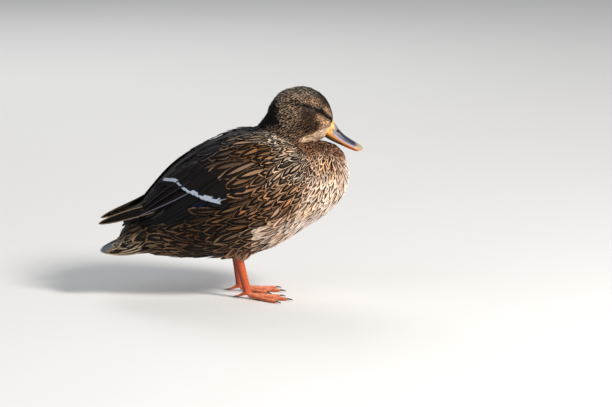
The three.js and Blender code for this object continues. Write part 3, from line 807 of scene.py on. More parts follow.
roots = sow(ROOTS_TRIED, lambda points: ~bare_zone(points))
roots = roots[~bare_zone(roots)]
on = roots / MM
ON_HEAD = above_jaw(roots) > 0.5
ON_NECK = ~ON_HEAD & (on[:, 2] > 168) & (on[:, 0] > 30) & (np.abs(on[:, 1]) < 36)
ON_SHANK = (on[:, 2] < 54) & (np.hypot(on[:, 0] - 8, np.abs(on[:, 1]) - 23) < 11)
ON_BREAST = ~(ON_HEAD | ON_NECK | ON_SHANK) & (on[:, 0] > 62)
ON_BACK = ~(ON_HEAD | ON_NECK | ON_SHANK | ON_BREAST) & (over_axis(roots) > 30)
REST = ~(ON_HEAD | ON_NECK | ON_SHANK | ON_BREAST | ON_BACK)
for letter, beside in (("r", on[:, 1] < 0), ("l", on[:, 1] >= 0)):
    clothe("feathers_head_" + letter, roots[ON_HEAD & beside], rows=FEW_ROWS, columns=5,
           long=2.9, wide=1.6, swing=9, leave=overhang, contrast=0.4)
    clothe("feathers_breast_" + letter, roots[ON_BREAST & beside])
    clothe("feathers_flank_" + letter, roots[REST & beside])
clothe("feathers_neck", roots[ON_NECK], contrast=0.4)
clothe("feathers_back", roots[ON_BACK])
clothe("feathers_shank", roots[ON_SHANK], rows=FEW_ROWS, columns=5)

# ---- Quills: the folded wings' long feathers and the tail ----
# Stiff blades with a clear shaft. The coverts' white tips make the bar; the mirror under them is near black,
# with its blue painted as a glint in one spot, and the tertials lie over the rest. The longest primaries
# stick out past the rump, over the tail.

QUILL_ROWS = np.array([0, 0.1, 0.22, 0.34, 0.46, 0.58, 0.69, 0.79, 0.88, 0.95, 0.985, 1])
QUILL_THICKNESS = 0.45 * MM  # near the root, and a tenth of that at the tip
QUILL_ARCH = 0.1  # how far the rims hang, as a share of the half width
# Along the white bar, in millimetres: x and the height of its lower edge, then x and its depth.
BAR_EDGE = ((-72, -66, -62, -56, -48.5, -39, -21, -8), (143, 143.5, 142, 137, 131.3, 127, 122.8, 119.8))
BAR_DEPTH = ((-70, -48, -10), (2.6, 5.4, 5.4))


def on_side(x, turn, side):
    """The skin's point at x along the body and turned up by this many degrees, and its outward direction."""
    axis = Vector((x, 0, axis_height(x))) * MM
    out = Vector((0, side * cos(radians(turn)), sin(radians(turn))))
    place, normal, _, _ = skin_tree.ray_cast(axis + out * 0.15, -out)
    return np.array(place), np.array(normal)


def arc(starts, middles, ends):
    """Smooth lines through three points each."""
    t = QUILL_ROWS[None, :, None]
    bends = 2 * middles - 0.5 * (starts + ends)
    return (1 - t) ** 2 * starts[:, None] + 2 * t * (1 - t) * bends[:, None] + t * t * ends[:, None]


def quills(name, starts, middles, ends, width, ups, colours, material, slot, lean=0, tip=0.72, root=0.5,
           blunt=2.2):
    """Stiff blades through three points each, their flat sides facing ups, given at root and tip. lean is how
    much higher one rim lies, as a share of the half width."""
    line = arc(starts, middles, ends)
    count = len(line)
    t = QUILL_ROWS[None, :, None]
    facing = unit(ups[0][:, None] * (1 - t) + ups[1][:, None] * t)
    half = np.tile(width / 2 * blade(QUILL_ROWS, tip, root, blunt), (count, 1))
    across = np.linspace(-1, 1, 7)
    spans = half[:, :, None] * across
    heights = -QUILL_ARCH * half[:, :, None] * across ** 2 + lean * half[:, :, None] * across
    under = np.broadcast_to((QUILL_THICKNESS * (1.1 - QUILL_ROWS))[:, None], heights.shape)
    return vanes(name, line, spans, heights, under, colours, material, strips(count), ups=facing)


def shades(count, pale, dark, marks):
    """Colour and mark numbers for a row of like feathers, each a little lighter or darker."""
    tone = 1 + 0.12 * rng.uniform(-1, 1, (count, 1))
    mark = np.tile(np.array([*marks, 0.0]), (count, 1))
    mark[:, 3] = rng.random(count)
    return np.tile(tint(pale), (count, 1)) * tone, np.tile(tint(dark), (count, 1)) * tone, mark


def bar_place(points):
    """How far points on the wing lie above the white bar's lower edge, as a share of its depth. The bar sags
    like a chain, is slim at its rear end and stops short of the wing's front."""
    x = points[:, 0] / MM
    place = (points[:, 2] / MM - np.interp(x, *BAR_EDGE)) / np.interp(x, *BAR_DEPTH)
    return np.where(place > 1, place, place - 3 * ease(-7.5, -5, x))


def painted_glint_place(points):
    """How strongly the mirror's blue shows at points on the wing: a painted glint in one spot, near black
    elsewhere.
    """
    x, turn = points[:, 0] / MM, turn_of(points)
    return np.exp(-(((x + 37) / 11) ** 2) - ((turn - 20) / 5.5) ** 2)


def zoned_material(name, zone, first, changes):
    """A blade whose colour follows an attribute that runs over the whole row: the first colour, and then
    pairs of where the next one begins and its colour."""
    paint = Paint(name, Roughness=0.55, Specular_IOR_Level=0.15)
    out, _, luck, barb = vane_places(paint, 0.12, 60, 1)
    ragged = paint.math("MULTIPLY", paint.attribute(zone, "Fac"), paint.step(luck, 0, 1, 0.72, 1.35))
    place = paint.math("ADD", ragged, paint.math("MULTIPLY_ADD", barb, 0.3, -0.15))
    colour = tint(first)
    for begin, code in changes:
        colour = paint.mix(paint.step(place, begin - 0.08, begin + 0.08), colour, tint(code))
    colour = paint.mix(paint.step(barb, 0.3, 0.7, 0, 0.15), colour, (0.012, 0.01, 0.01))
    height = paint.math("ADD", barb, paint.step(out, 0, 0.08, 0.5, 0))
    return paint.finish(colour, height, depth=0.15 * MM, strength=0.3)


def add_number(mesh, name, values):
    """Writes one number for each vertex."""
    layer = mesh.attributes.new(name, "FLOAT", "POINT")
    layer.data.foreach_set("value", values)


WHITE_BAR = zoned_material("white_barred_covert", "bar", "080707", [(0, "aab6c8"), (1, "0c0908")])
# The secondaries are near black; their blue is painted as a glint in one spot behind the bar.
MIRROR = zoned_material("blue_mirror_quill", "painted_glint", "070709", [(0.3, "080c20"), (0.6, "0c1244")])
QUILL = coat_material("wing_quill", barbs=70, shaft=0.6, tipward=0.16)
TAIL_QUILL = coat_material("tail_quill", barbs=60, shaft=0.6, tipward=0.3)


def wing_row(name, side, share, places, width, lifts, colours, material, **shape):
    """A row of quills. Their roots, middles and tips are given as (x, turn) on the body for the first and the
    change from it to the quill whose share is 1, and are lifted off the skin."""
    points, facing = [], []
    for (first, change), lift in zip(places, lifts):
        spots = np.array(first) + share[:, None] * change
        found = [on_side(x, turn, side) for x, turn in spots]
        ups = np.array([normal for _, normal in found])
        stack = np.arange(len(share))[:, None] * 0.12 * MM
        points.append(np.array([place for place, _ in found]) + ups * (lift * MM + stack))
        facing.append(ups)
    return quills(name, *points, width * MM, (facing[0], facing[2]), colours, material, "wing_plumage",
                  **shape)


for side, letter in ((-1, "r"), (1, "l")):
    row = wing_row(
        "secondaries_" + letter, side, np.linspace(0, 1.3, 11),
        [((2, 24), (-26, 24)), ((-46, 12), (-16, 29)), ((-98, 10), (-8, 25))], 15, (0.6, 1.0, 1.6),
        shades(11, "15131b", "09080b", (0.9, 0, 1)), MIRROR, tip=0.8)
    add_number(row.data, "painted_glint", painted_glint_place(mesh_arrays(row.data)[0]))
    row = wing_row(
        "bar_coverts_" + letter, side, np.linspace(0, 1, 13),
        [((20, 26), (-62, 40)), ((6, 23), (-62, 40)), ((-13.5, 17.5), (-62, 40))], 15, (2.4, 4.2, 5.0),
        shades(13, "1d1a24", "0e0c10", (0.9, 0, 1)), WHITE_BAR, tip=0.88, root=0.7)
    add_number(row.data, "bar", bar_place(mesh_arrays(row.data)[0]))
    # The long tertial's broad lilac-grey rim: a pale edge with a painted sheen line along it.
    wing_row(
        "long_tertial_" + letter, side, np.zeros(1),
        [((-30, 42), (0, 0)), ((-78, 42), (0, 0)), ((-118, 51), (0, 0))], 14, (2.0, 4.6, 9.5),
        shades(1, "7a748e", "0a0809", (0.6, 0, 1)), QUILL, tip=0.75)
    wing_row(
        "tertials_" + letter, side, np.linspace(0, 1, 4),
        [((-28, 52), (-6, 24)), ((-74, 51), (4, 22)), ((-121, 50), (17, 24))], 22, (2.2, 4.2, 8),
        shades(4, "2a2830", "0a0809", (0.9, 0, 1)), QUILL, tip=0.7, lean=-0.06)
    share = np.linspace(0, 1, 5)[:, None]
    flip = np.array((1, side, 1))
    starts = np.array((-60, 40, 118)) + share * (4, -4, 12)
    tips = np.array((-155, 20, 89)) + share * (30, 5, 12) + share * (1 - share) * (20, 0, 8)
    middles = 0.5 * (starts + tips) + (0, 3.5, 2)
    out = np.array((0, 0.93, 0.36)) + share * (0, -0.2, 0.2)
    pale, dark, marks = shades(5, "4e443c", "0a0807", (0.92, 0, 1))
    # The first primary's buff band: a painted highlight along the upper wing tip.
    pale[0] = tint("a98d74")
    marks[0, 0] = 0.7
    row = quills(
        "primaries_" + letter, starts * flip * MM, middles * flip * MM, tips * flip * MM, 12 * MM,
        (unit(out * flip), unit(out * flip)), (pale, dark, marks), QUILL, "wing_plumage", tip=0.5,
        lean=0.1 * side)
    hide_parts("wingtip_" + letter)


def roof(name, count, root, far, rise, drop, spread_root, spread_tip, width, look, tip=0.5):
    """A row of quills like a low tent over the tail: the middle ones highest, the outer ones hanging at the
    sides. root and far are (x, z) of the middle quill's ends; rise and drop lower the outer ones' ends."""
    share = np.linspace(-1, 1, count)[:, None]
    outer = np.abs(share)
    swing = np.sin(share * pi / 2)
    starts = np.array((root[0], 0, root[1])) + swing * (0, spread_root, 0) - outer ** 1.5 * (-3, 0, rise)
    tips = np.array((far[0], 0, far[1])) + swing * (0, spread_tip, 0) - outer ** 1.8 * (-14, 0, drop)
    middles = 0.5 * (starts + tips) + (0, 0, 1.2) + swing * (0, 2, 0)
    tilt = share * radians(64)
    ups = np.concatenate([-0.35 * np.cos(tilt), np.sin(tilt), np.cos(tilt)], 1)
    return quills(name, starts * MM, middles * MM, tips * MM, width * MM, (unit(ups), unit(ups)), look,
                  TAIL_QUILL, "tail_plumage", tip=tip, blunt=1.8)


outer = np.abs(np.linspace(-1, 1, 18))
# Blue-white rims on the middle quills: pale edges with a painted sheen on them; the outer quills turn buff.
pale, dark, marks = shades(18, "d0dcee", "0c0a0a", (0.76, 0, 1))
pale = dye(pale, "d8c0a0", ease(0.35, 0.8, outer))
dark = dye(dark, "3a2e24", 0.7 * outer ** 3)
fan = roof("tail_fan", 18, root=(-100, 84), far=(-155.4, 54.4), rise=24, drop=-1, spread_root=25,
           spread_tip=29, width=12, look=(pale, dark, marks), tip=0.45)
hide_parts("tail")
roof("uppertail_coverts", 13, root=(-88, 107), far=(-131, 77), rise=40, drop=19, spread_root=27,
     spread_tip=24, width=13, look=shades(13, "6a584a", "0e0b0a", (0.95, 0.2, 1)))

# ---- Bill: two horny mandibles, flattened and spatulate, with a nail at the tip ----
# Soft leathery skin over bone, yellow at the root and along the cutting edge, with a dark saddle. The
# nostrils are pierced high on the sides, a third of the way along.


def through(points, count):
    """A smooth line of so many points through the given ones, evenly spaced."""
    points = np.array(points, float)
    ends = np.concatenate([[2 * points[0] - points[1]], points, [2 * points[-1] - points[-2]]])
    t = np.linspace(0, 1, 12)[:-1, None]
    parts = []
    for p0, p1, p2, p3 in zip(ends, ends[1:], ends[2:], ends[3:]):
        parts.append(0.5 * (2 * p1 + (p2 - p0) * t + (2 * p0 - 5 * p1 + 4 * p2 - p3) * t ** 2
                            + (3 * p1 - p0 - 3 * p2 + p3) * t ** 3))
    line = np.concatenate([*parts, points[-1:]])
    run = run_along(line)
    even = np.linspace(0, run[-1], count)
    return np.stack([np.interp(even, run, line[:, k]) for k in range(line.shape[1])], 1)


def tube_faces(rings, sides):
    """Quads of a tube of rings, closed round; its first and last rings are small enough to be ends."""
    index = np.arange(rings * sides).reshape(rings, sides)
    after = np.roll(index, -1, axis=1)
    return np.stack([index[:-1], after[:-1], after[1:], index[1:]], -1).reshape(-1, 4)


def mandible(over, under, wide, flat, rings=110, sides=72):
    """A flattened tube between its upper and lower outlines (x, z): rings x sides of points in millimetres.
    flat is how low its widest place lies, from 0 at mid height to 1 at the bottom."""
    top, bottom = through(over, rings), through(under, rings)
    turn = np.linspace(0, 2 * pi, sides, endpoint=False)
    reach = np.sign(np.cos(turn)) * np.abs(np.cos(turn)) ** 0.75
    lift = np.where(np.sin(turn) > 0, np.abs(np.sin(turn)) ** 0.9 * (1 + flat) - flat,
                    -flat - (1 - flat) * np.abs(np.sin(turn)))
    share = np.linspace(0, 1, rings)
    half = np.interp(share, *np.array(wide).T)
    for _ in range(6):
        half[1:-1] = 0.25 * half[:-2] + 0.5 * half[1:-1] + 0.25 * half[2:]
    middle = (top + bottom)[:, None] / 2 + (top - bottom)[:, None] / 2 * lift[None, :, None]
    y = half[:, None] * reach[None]
    return np.stack([middle[..., 0], y, middle[..., 1]], -1), share, lift


UPPER = mandible(
    [(106.5, 203), (113.5, 210), (121, 207.5), (126.5, 199.5), (132.5, 192.5), (139.5, 187.2),
     (146.5, 182.8), (152.5, 179), (155.4, 175.6)],
    [(106.5, 203), (109.5, 194.5), (118.5, 188), (128.5, 182.6), (138.5, 178.2), (147.5, 174.8),
     (153, 173.4), (155.4, 175.3)],
    [(0, 0.5), (0.1, 9.3), (0.2, 9.8), (0.42, 8.9), (0.62, 9.8), (0.84, 11.4), (0.94, 8.4), (0.985, 3.6),
     (1, 0.2)], 0.55)
LOWER = mandible(
    [(106.5, 198), (119.5, 190), (130.5, 184), (140.5, 179.5), (148.5, 175.5), (151, 172.9)],
    [(106.5, 198), (110.5, 190), (119.5, 184.5), (130.5, 179.5), (140.5, 175), (147.5, 172.4), (151, 172.8)],
    [(0, 0.5), (0.1, 8), (0.4, 8.2), (0.85, 9.2), (0.95, 6), (1, 0.2)], -0.2)


def near(points, spot, size):
    """A soft spot: one at the place, falling off over the size, both in millimetres."""
    away = (points - np.array(spot)) / np.array(size)
    return np.exp(-(away ** 2).sum(-1))


def bill_piece(name, shape, hues, node, relief=0):
    """A mandible of the given points, raised by relief millimetres and coloured by hues at each of them."""
    points = shape[0]
    normals = np.cross(np.gradient(points, axis=0), np.gradient(points, axis=1))
    normals *= np.sign((normals * (points - points.mean(1, keepdims=True))).sum(-1, keepdims=True))
    points = points + unit(normals) * np.asarray(relief)[..., None]
    mesh = make_mesh(name, points.reshape(-1, 3) * MM, tube_faces(*points.shape[:2]))
    add_colours(mesh, "hue", hues.reshape(-1, 3))
    paint = Paint(name + "_horn", Roughness=0.42, Specular_IOR_Level=0.35, Coat_Weight=0.08,
                  Coat_Roughness=0.25, Subsurface_Weight=0.08, Subsurface_Scale=0.002)
    fine = paint.noise(900, 4)
    speck = paint.noise(2600, 2)
    hue = paint.mix(paint.step(fine, 0.35, 0.7, 0, 0.22), paint.attribute("hue"), (0.16, 0.11, 0.07))
    hue = paint.mix(paint.step(speck, 0.66, 0.74, 0, 0.35), hue, (0.05, 0.04, 0.035))
    piece = add_piece(name, mesh, paint.finish(hue, fine, depth=0.12 * MM, strength=0.35))
    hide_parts(node)


def one_sided(points):
    """Points of the left half brought over to the right one."""
    return np.stack([points[..., 0], np.abs(points[..., 1]), points[..., 2]], -1)


def upper_relief(points, share, lift):
    """The nostrils, the nail at the tip, and the lip and groove that run along each side."""
    near_side = one_sided(points)
    hole = near(near_side, (127, 5.3, 197.3), (2.4, 3.4, 1.6))
    rim = near(near_side, (126.8, 5.3, 197.6), (3.6, 4, 2.6)) - hole
    nail = ease(0.9, 0.925, share)[:, None] * (1 - ease(2.6, 3.6, near_side[..., 1])) * (lift > 0)[None]
    lip = np.exp(-((lift + 0.5) / 0.16) ** 2)[None] * ease(0.1, 0.2, share)[:, None]
    groove = np.exp(-((lift + 0.2) / 0.14) ** 2)[None] * ease(0.12, 0.3, share)[:, None]
    return -1.5 * hole + 0.25 * rim + 0.28 * nail + 0.22 * lip - 0.14 * groove


def upper_hues(points, share, lift):
    """Yellow at the root, a dark saddle, a pale nail, orange along the cutting edge, and black painted shade
    in the nostrils.
    """
    near_side = one_sided(points)
    share, lift = np.broadcast_arrays(share[:, None], lift[None])
    wave = 0.02 * np.sin(9 * lift + 21 * share) + 0.015 * np.sin(31 * lift)
    ragged = share + wave
    saddle = ease(0.4, 0.5, ragged) * (1 - ease(0.8, 0.88, ragged))
    hue = np.tile(tint("9a8d84"), (*share.shape, 1))
    for code, amount in (
            ("6f6a76", ease(0.3, 0.45, share)),
            ("cfbcc6", 0.9 * np.exp(-((lift + 0.2) / 0.2) ** 2) * ease(0.3, 0.42, share)),
            ("a08862", 0.8 * near(near_side, (131, 2, 196), (3.2, 5, 3))),
            ("e8c878", 1 - ease(0.27, 0.33, ragged)),
            ("f2a416", 1 - ease(0.235, 0.28, ragged)),
            ("e8ba08", 0.9 * (1 - ease(0.22, 0.28, ragged)) * ease(0.1, 0.7, lift)),
            ("142842", ease(0.02, 0.22, lift + wave * 2) * saddle),
            ("b09e80", ease(0.8, 0.9, ragged)),
            ("c9a86a", 0.8 * ease(0.93, 0.96, share) * (1 - ease(2.2, 3.6, near_side[..., 1])) * (lift > 0)),
            ("ff9c20", (1 - ease(-0.5, -0.36, lift)) * ease(0.05, 0.15, share)),
            ("d8641a", 0.5 * (1 - ease(-0.9, -0.8, lift))),
            # Black in the nostrils: painted shade inside the shallow holes.
            ("040303", 4 * near(near_side, (127, 6, 197.3), (2.4, 4.5, 1.5)) - 0.5)):
        hue = dye(hue, code, amount)
    return hue


def shaded_lower_hues(points, share, lift):
    """Dark brown at the root, painted shade under the upper mandible, turning dull orange towards the tip."""
    # The dark brown is painted shade under the upper mandible.
    return dye(np.tile(tint("2c180c"), (*points.shape[:2], 1)), "c4581c", ease(0.45, 0.8, share)[:, None])


bill_piece("upper_mandible", UPPER, upper_hues(*UPPER), "bill_upper", upper_relief(*UPPER))
bill_piece("lower_mandible", LOWER, shaded_lower_hues(*LOWER), "bill_lower")

# ---- Eyes: dark brown balls, all but hidden by the raised lower lids ----
# Each ball sits where the orbit holds it. The lids are thin bare shells over it with fleshy rims, and leave
# a slit that slopes down towards the bill.

EYE_PLACE = np.array((94.5, 15.8, 225))  # in millimetres, as the radius is
EYE_RADIUS = 5.6

eye_paint = Paint("eye_gloss", Roughness=0.1, Specular_IOR_Level=0.4, Coat_Weight=0.4, Coat_Roughness=0.03)
ring = eye_paint.attribute("ring", "Fac")
iris = eye_paint.mix(eye_paint.step(eye_paint.noise(1800, 2), 0.35, 0.65), tint("1c100a"), tint("342014"))
iris = eye_paint.mix(eye_paint.step(ring, 0.36, 0.4), tint("050404"), iris)
iris = eye_paint.mix(eye_paint.step(ring, 0.78, 0.86), iris, tint("120c0a"))
eye_glass = eye_paint.finish(iris)

lid_paint = Paint("lid_skin", Roughness=0.6, Specular_IOR_Level=0.3)
lid_grain = lid_paint.noise(2200, 3)
lid_hue = lid_paint.mix(
    lid_paint.step(lid_grain, 0.3, 0.7, 0, 0.5), lid_paint.attribute("hue"), (0.02, 0.012, 0.008))
lid_skin = lid_paint.finish(lid_hue, lid_grain, depth=0.15 * MM, strength=0.6)


def lid_shell(sign, heart, out, up, slit):
    """One lid as a grid of points round the ball, along the slit and from its rim back into the orbit, and
    how far back each lies. sign is 1 for the upper lid and -1 for the lower."""
    along = np.radians(np.linspace(-84, 84, 57))[:, None]
    fold = np.linspace(0, 1, 24)[None]
    gape = radians(10) * np.clip(1 - (along / radians(58)) ** 2, 0, None)
    sag = radians(-4) + 0.06 * np.cos(along * 1.4)
    edge = sag + sign * (0.45 * gape if sign < 0 else 0.75 * gape)
    rise = edge + sign * ease(0.08, 1, fold) * radians(84)
    roll = np.where(fold < 0.12, 1 - fold / 0.12, 0)
    crease = 0.12 * np.exp(-(((fold - 0.2) / 0.06) ** 2)) + 0.1 * np.exp(-(((fold - 0.34) / 0.05) ** 2))
    sunk = 1.2 * ease(0.14, 0.5, fold) if sign > 0 else 0.5 * ease(0.6, 1, fold) - 0.12
    radius = EYE_RADIUS + 0.6 - 0.45 * roll ** 2 - crease - sunk
    points = heart + radius[..., None] * (
        (np.cos(along) * np.cos(rise))[..., None] * out + (np.cos(along) * np.sin(rise))[..., None] * up
        + (np.sin(along) + 0 * rise)[..., None] * slit)
    return points, fold + 0 * rise


for side, letter in ((-1, "r"), (1, "l")):
    heart = EYE_PLACE * (1, side, 1)
    out = unit(np.array((0.2, side * 0.96, 0.14)))
    fall = np.array((cos(SLIT_FALL), 0, -sin(SLIT_FALL)))
    slit = unit(fall - out * (out @ fall))
    up = np.cross(slit, out) * side
    bpy.ops.mesh.primitive_uv_sphere_add(segments=64, ring_count=40, radius=(EYE_RADIUS - 0.1) * MM)
    ball = bpy.context.object
    ball.name = "eyeball_" + letter
    places, _ = mesh_arrays(ball.data)
    add_number(ball.data, "ring", np.arccos(np.clip(unit(places) @ out, -1, 1)))
    move_vertices(ball.data, places + heart * MM)
    ball.data.shade_smooth()
    ball.data.materials.append(eye_glass)
    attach(ball, "root")
    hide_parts("eye_" + letter)
    bpy.ops.object.select_all(action="DESELECT")
    for lid, sign, rim, far in (("upper", 1, "170e0a", "2a1c15"), ("lower", -1, "34241b", "4c392d")):
        name = lid + "_lid_" + letter
        points, fold = lid_shell(sign, heart, out, up, slit)
        index = np.arange(fold.size).reshape(fold.shape)
        mesh = make_mesh(name, points.reshape(-1, 3) * MM, sheet_faces(index, sign * side > 0))
        add_colours(mesh, "hue", dye(np.array(tint(rim)), far, ease(0.05, 0.3, fold)).reshape(-1, 3))
        add_piece(name, mesh, lid_skin)

# ---- Legs: bare orange skin from hock to toes, scutes in front, webs between the three front toes ----
# The tarsus is a flattened rod with a knob at each end. Three jointed toes carry the webs; the small hind
# toe is set a little higher. The skin of each leg is one piece.

# In millimetres and degrees.
STANCE = 22  # from her middle to each foot
LEGS = {"r": (-1, 20.5, 11, 16), "l": (1, 10.5, 6, -6)}  # side, foot's x, tarsus's slant, toes' outward turn
TOES = {  # angle, length, radius and joints, as shares of the length
    "inner": (-27, 38.4, 2.3, (0.02, 0.42, 0.8)),
    "middle": (0, 48, 2.6, (0.02, 0.34, 0.62, 0.86)),
    "outer": (25, 44.6, 2.4, (0.02, 0.3, 0.5, 0.7, 0.88)),
}
HIND_TOE = 12.4  # its length
TARSUS_RADII = [(0, 4.2, 5.4), (0.14, 4.6, 6), (0.3, 3.6, 5), (0.55, 3.3, 4.7), (0.8, 3.4, 4.7),
                (0.93, 3.9, 4.9), (1, 3.8, 4.7)]
SCUTE = 2.3  # length of each plate down the front
WEB_HEIGHT = 1.35  # of the sheet's middle, above the floor
WEB_THICKNESS = 1.24
WEB_GRID = (30, 25)  # rows from the foot's middle outwards, and columns from toe to toe


def on_foot(leg, angle, reach, height):
    """A place at this reach and angle from the foot's middle, and at this height, in millimetres."""
    side, step, _, toes_out = leg
    turn = radians(angle + toes_out)
    return step + reach * cos(turn), side * (STANCE + reach * sin(turn)), height


def rod(spine, radii, rings=60, sides=28):
    """A rod with rounded ends along a spine: rings x sides of points, and the smooth spine itself. radii are
    (share along, across, deep)."""
    line = through(spine, rings)
    share = np.linspace(0, 1, rings)
    stations, across, deep = np.array(radii, float).T
    ends = np.sqrt(np.clip(1 - np.abs(2 * share - 1) ** 30, 0.0004, 1))[:, None]
    ahead = unit(np.gradient(line, axis=0))
    sideways = unit(np.cross(ahead, (0.3, 0, 1) if abs(ahead[rings // 2][2]) < 0.7 else (1, 0, 0)))
    deepways = np.cross(sideways, ahead)
    turn = np.linspace(0, 2 * pi, sides, endpoint=False)
    a = (np.interp(share, stations, across)[:, None] * ends * np.cos(turn))[..., None]
    d = (np.interp(share, stations, deep)[:, None] * ends * np.sin(turn))[..., None]
    return line[:, None] + a * sideways[:, None] + d * deepways[:, None], line


def outward(points, faces):
    """The faces turned so that the closed shape they make faces outwards."""
    corners = points.reshape(-1, 3)[faces]
    volume = (corners[:, 0] * np.cross(corners[:, 1], corners[:, 2])).sum()
    volume += (corners[:, 0] * np.cross(corners[:, 2], corners[:, 3])).sum()
    return faces if volume > 0 else faces[:, ::-1]


def toe_spine(leg, angle, length):
    """A toe's middle line, which sinks from the foot's middle to the claw."""
    return [on_foot(leg, angle, length * share, height)
            for share, height in ((0, 4.6), (0.2, 4), (0.45, 3), (0.72, 2.2), (1, 1.7))]


def knuckled(radius, joints):
    """Radii of a toe: thick at its joints and thinner between them, tapering to the claw."""
    share = np.linspace(0, 1, 41)
    size = radius * (1.25 - 0.5 * share)
    for joint in joints:
        size = size + 0.34 * np.exp(-(((share - joint) / 0.05) ** 2))
    return np.stack([share, size, size * 0.88], 1)


leg_paint = Paint("leg_skin", Roughness=0.48, Specular_IOR_Level=0.4, Subsurface_Weight=0.1,
                  Subsurface_Scale=0.002)
leg_grain = leg_paint.node("ShaderNodeTexVoronoi", Scale=900, feature="F1", Vector=leg_paint.place())
leg_fine = leg_paint.noise(1600, 3)
pebbles = leg_paint.step(leg_grain.outputs["Distance"], 0.1, 0.75, 1, 0)
leg_hue = leg_paint.mix(leg_paint.step(pebbles, 0, 0.5, 0.4, 0), leg_paint.attribute("hue"), tint("8e2c14"))
leg_hue = leg_paint.mix(leg_paint.step(leg_fine, 0.4, 0.75, 0, 0.3), leg_hue, tint("f2a070"))
leg_skin = leg_paint.finish(leg_hue, pebbles, depth=0.16 * MM, strength=0.55)

claw_paint = Paint("claw_horn", Roughness=0.36, Specular_IOR_Level=0.5)
claw_grain = claw_paint.noise(1400, 3)
claw_hue = claw_paint.mix(claw_paint.step(claw_grain, 0.35, 0.65), tint("2b1f1a"), tint("5a4538"))
claw_horn = claw_paint.finish(claw_hue, claw_grain, depth=0.06 * MM, strength=0.4)


def web(leg, first, second):
    """The web between two toes: a thin sheet with a hollow front edge, as points and faces."""
    sides = []
    rows, columns = WEB_GRID
    share = np.linspace(0, 1, columns)
    reach = 0.04 + np.linspace(0, 1, rows)[:, None] * (0.9 - 0.2 * np.sin(pi * share) ** 0.8)[None]
    for toe in (first, second):
        spine = through(toe_spine(leg, *TOES[toe][:2]), 40)
        sides.append(np.stack([np.interp(reach, np.linspace(0, 1, 40), spine[:, k]) for k in range(3)], -1))
    sheet = sides[0] + (sides[1] - sides[0]) * share[None, :, None]
    sheet[..., 2] = WEB_HEIGHT + 0.3 * (sheet[..., 2] - WEB_HEIGHT) * np.abs(2 * share - 1) ** 3
    top = sheet + (0, 0, WEB_THICKNESS / 2)
    low = (sheet - (0, 0, WEB_THICKNESS / 2))[1:-1, 1:-1]
    points = np.concatenate([top.reshape(-1, 3), low.reshape(-1, 3)])
    faces, _ = grid_faces(1, rows, columns)
    return points, outward(points, faces)


def nearest_spine(p, lines):
    """For each point, how far the nearest spine is and how far along it that is."""
    best = np.full(len(p), 1e9)
    run = np.zeros(len(p))
    for line in lines:
        away = np.linalg.norm(p[:, None] - line[None], axis=2)
        closer = away.min(1) < best
        run = np.where(closer, run_along(line)[away.argmin(1)], run)
        best = np.where(closer, away.min(1), best)
    return best, run


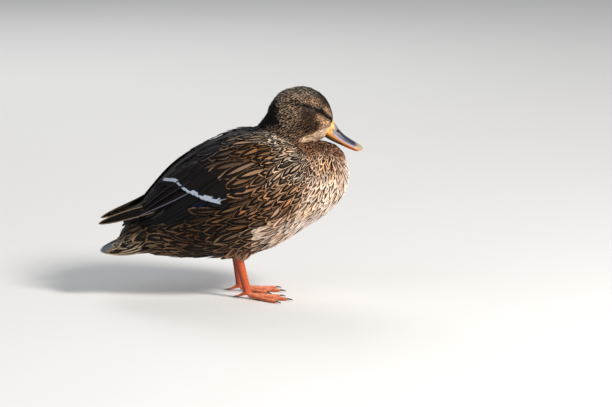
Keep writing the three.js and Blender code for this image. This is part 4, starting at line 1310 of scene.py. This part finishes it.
for letter, leg in LEGS.items():
    side, step, slant, _ = leg
    y = side * STANCE
    tarsus = [(step - slant - 1, y, 57), (step - slant - 0.4, y, 51), (step - 0.78 * slant, y, 39),
              (step - 0.5 * slant, y, 26.5), (step - 0.2 * slant, y, 13), (step, y, 4.8)]
    parts = [rod(tarsus, TARSUS_RADII)]
    for angle, length, radius, joints in TOES.values():
        parts.append(rod(toe_spine(leg, angle, length), knuckled(radius, joints)))
    hind = [on_foot(leg, 180, reach, height) for reach, height in ((0, 6.6), (5, 5.4), (9.5, 3.4), (13, 1.9))]
    parts.append(rod(hind, [(0, 2.6, 2.6), (0.6, 1.8, 1.8), (1, 1.3, 1.3)]))
    shells = [(points.reshape(-1, 3), outward(points, tube_faces(*points.shape[:2]))) for points, _ in parts]
    shells += [web(leg, "inner", "middle"), web(leg, "middle", "outer")]
    starts = np.cumsum([0] + [len(points) for points, _ in shells])
    faces = np.concatenate([own + start for (_, own), start in zip(shells, starts)])
    name = "leg_skin_" + letter
    mesh = make_mesh(name, np.concatenate([points for points, _ in shells]) * MM, faces)
    hide = add_piece(name, mesh, leg_skin)
    modify(hide, "REMESH", mode="VOXEL", voxel_size=0.5 * MM)
    modify(hide, "SMOOTH", factor=0.5, iterations=3)
    places, normals = mesh_arrays(hide.data)
    p = places / MM
    away, run = nearest_spine(p, [line for _, line in parts])
    on_tarsus = p[:, 2] > 8
    front = ease(-0.1, 0.5, np.where(on_tarsus, normals[:, 0], normals[:, 2]))
    plate = np.abs(2 * np.mod(run / SCUTE + 0.12 * np.sin(p[:, 1]), 1) - 1)
    seam = ease(0.72, 0.98, plate) * front * (away < 5.5)
    webbed = ease(3.0, 4.2, away) * (p[:, 2] < 6)
    fold = np.sin(np.arctan2(p[:, 1] - y, p[:, 0] - step) * 70) * webbed
    move_vertices(hide.data, places - normals * (0.17 * seam + 0.05 * fold)[:, None] * MM)
    hue = np.tile(tint("d85c2a"), (len(p), 1))
    for code, amount in (
            ("eea078", 0.8 * ease(0.1, 0.8, normals[:, 2]) * (p[:, 2] < 8)), ("c99a72", 0.55 * webbed),
            ("98300f", 0.9 * seam), ("c8492a", 0.5 * ease(44, 50, p[:, 2])),
            # Deep red on the back of each tarsus: painted shade of the side turned away from the lamps.
            ("620c04", ease(-0.2, 0.7, -normals[:, 0]) * on_tarsus),
            ("b4703c", 0.6 * ease(0.3, 0.8, -normals[:, 2]) * (p[:, 2] < 3))):
        hue = dye(hue, code, amount)
    add_colours(hide.data, "hue", hue)
    hide.data.shade_smooth()
    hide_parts("tarsus_" + letter, "foot_" + letter)
    for toe, angle, length in [(toe, *shape[:2]) for toe, shape in TOES.items()] + [("hind", 180, HIND_TOE)]:
        name = "nail_" + toe + "_" + letter
        curve = [on_foot(leg, angle, length + past, height)
                 for past, height in ((-1.6, 1.75), (1.5, 2.0), (4.5, 1.6), (7.2, 0.75))]
        points, _ = rod(curve, [(0, 1.0, 1.0), (0.3, 1.05, 1.0), (0.7, 0.7, 0.7), (1, 0.25, 0.25)], 24, 16)
        mesh = make_mesh(name, points.reshape(-1, 3) * MM, outward(points, tube_faces(24, 16)))
        nail = add_piece(name, mesh, claw_horn)
        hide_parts("claw_" + toe + "_" + letter)
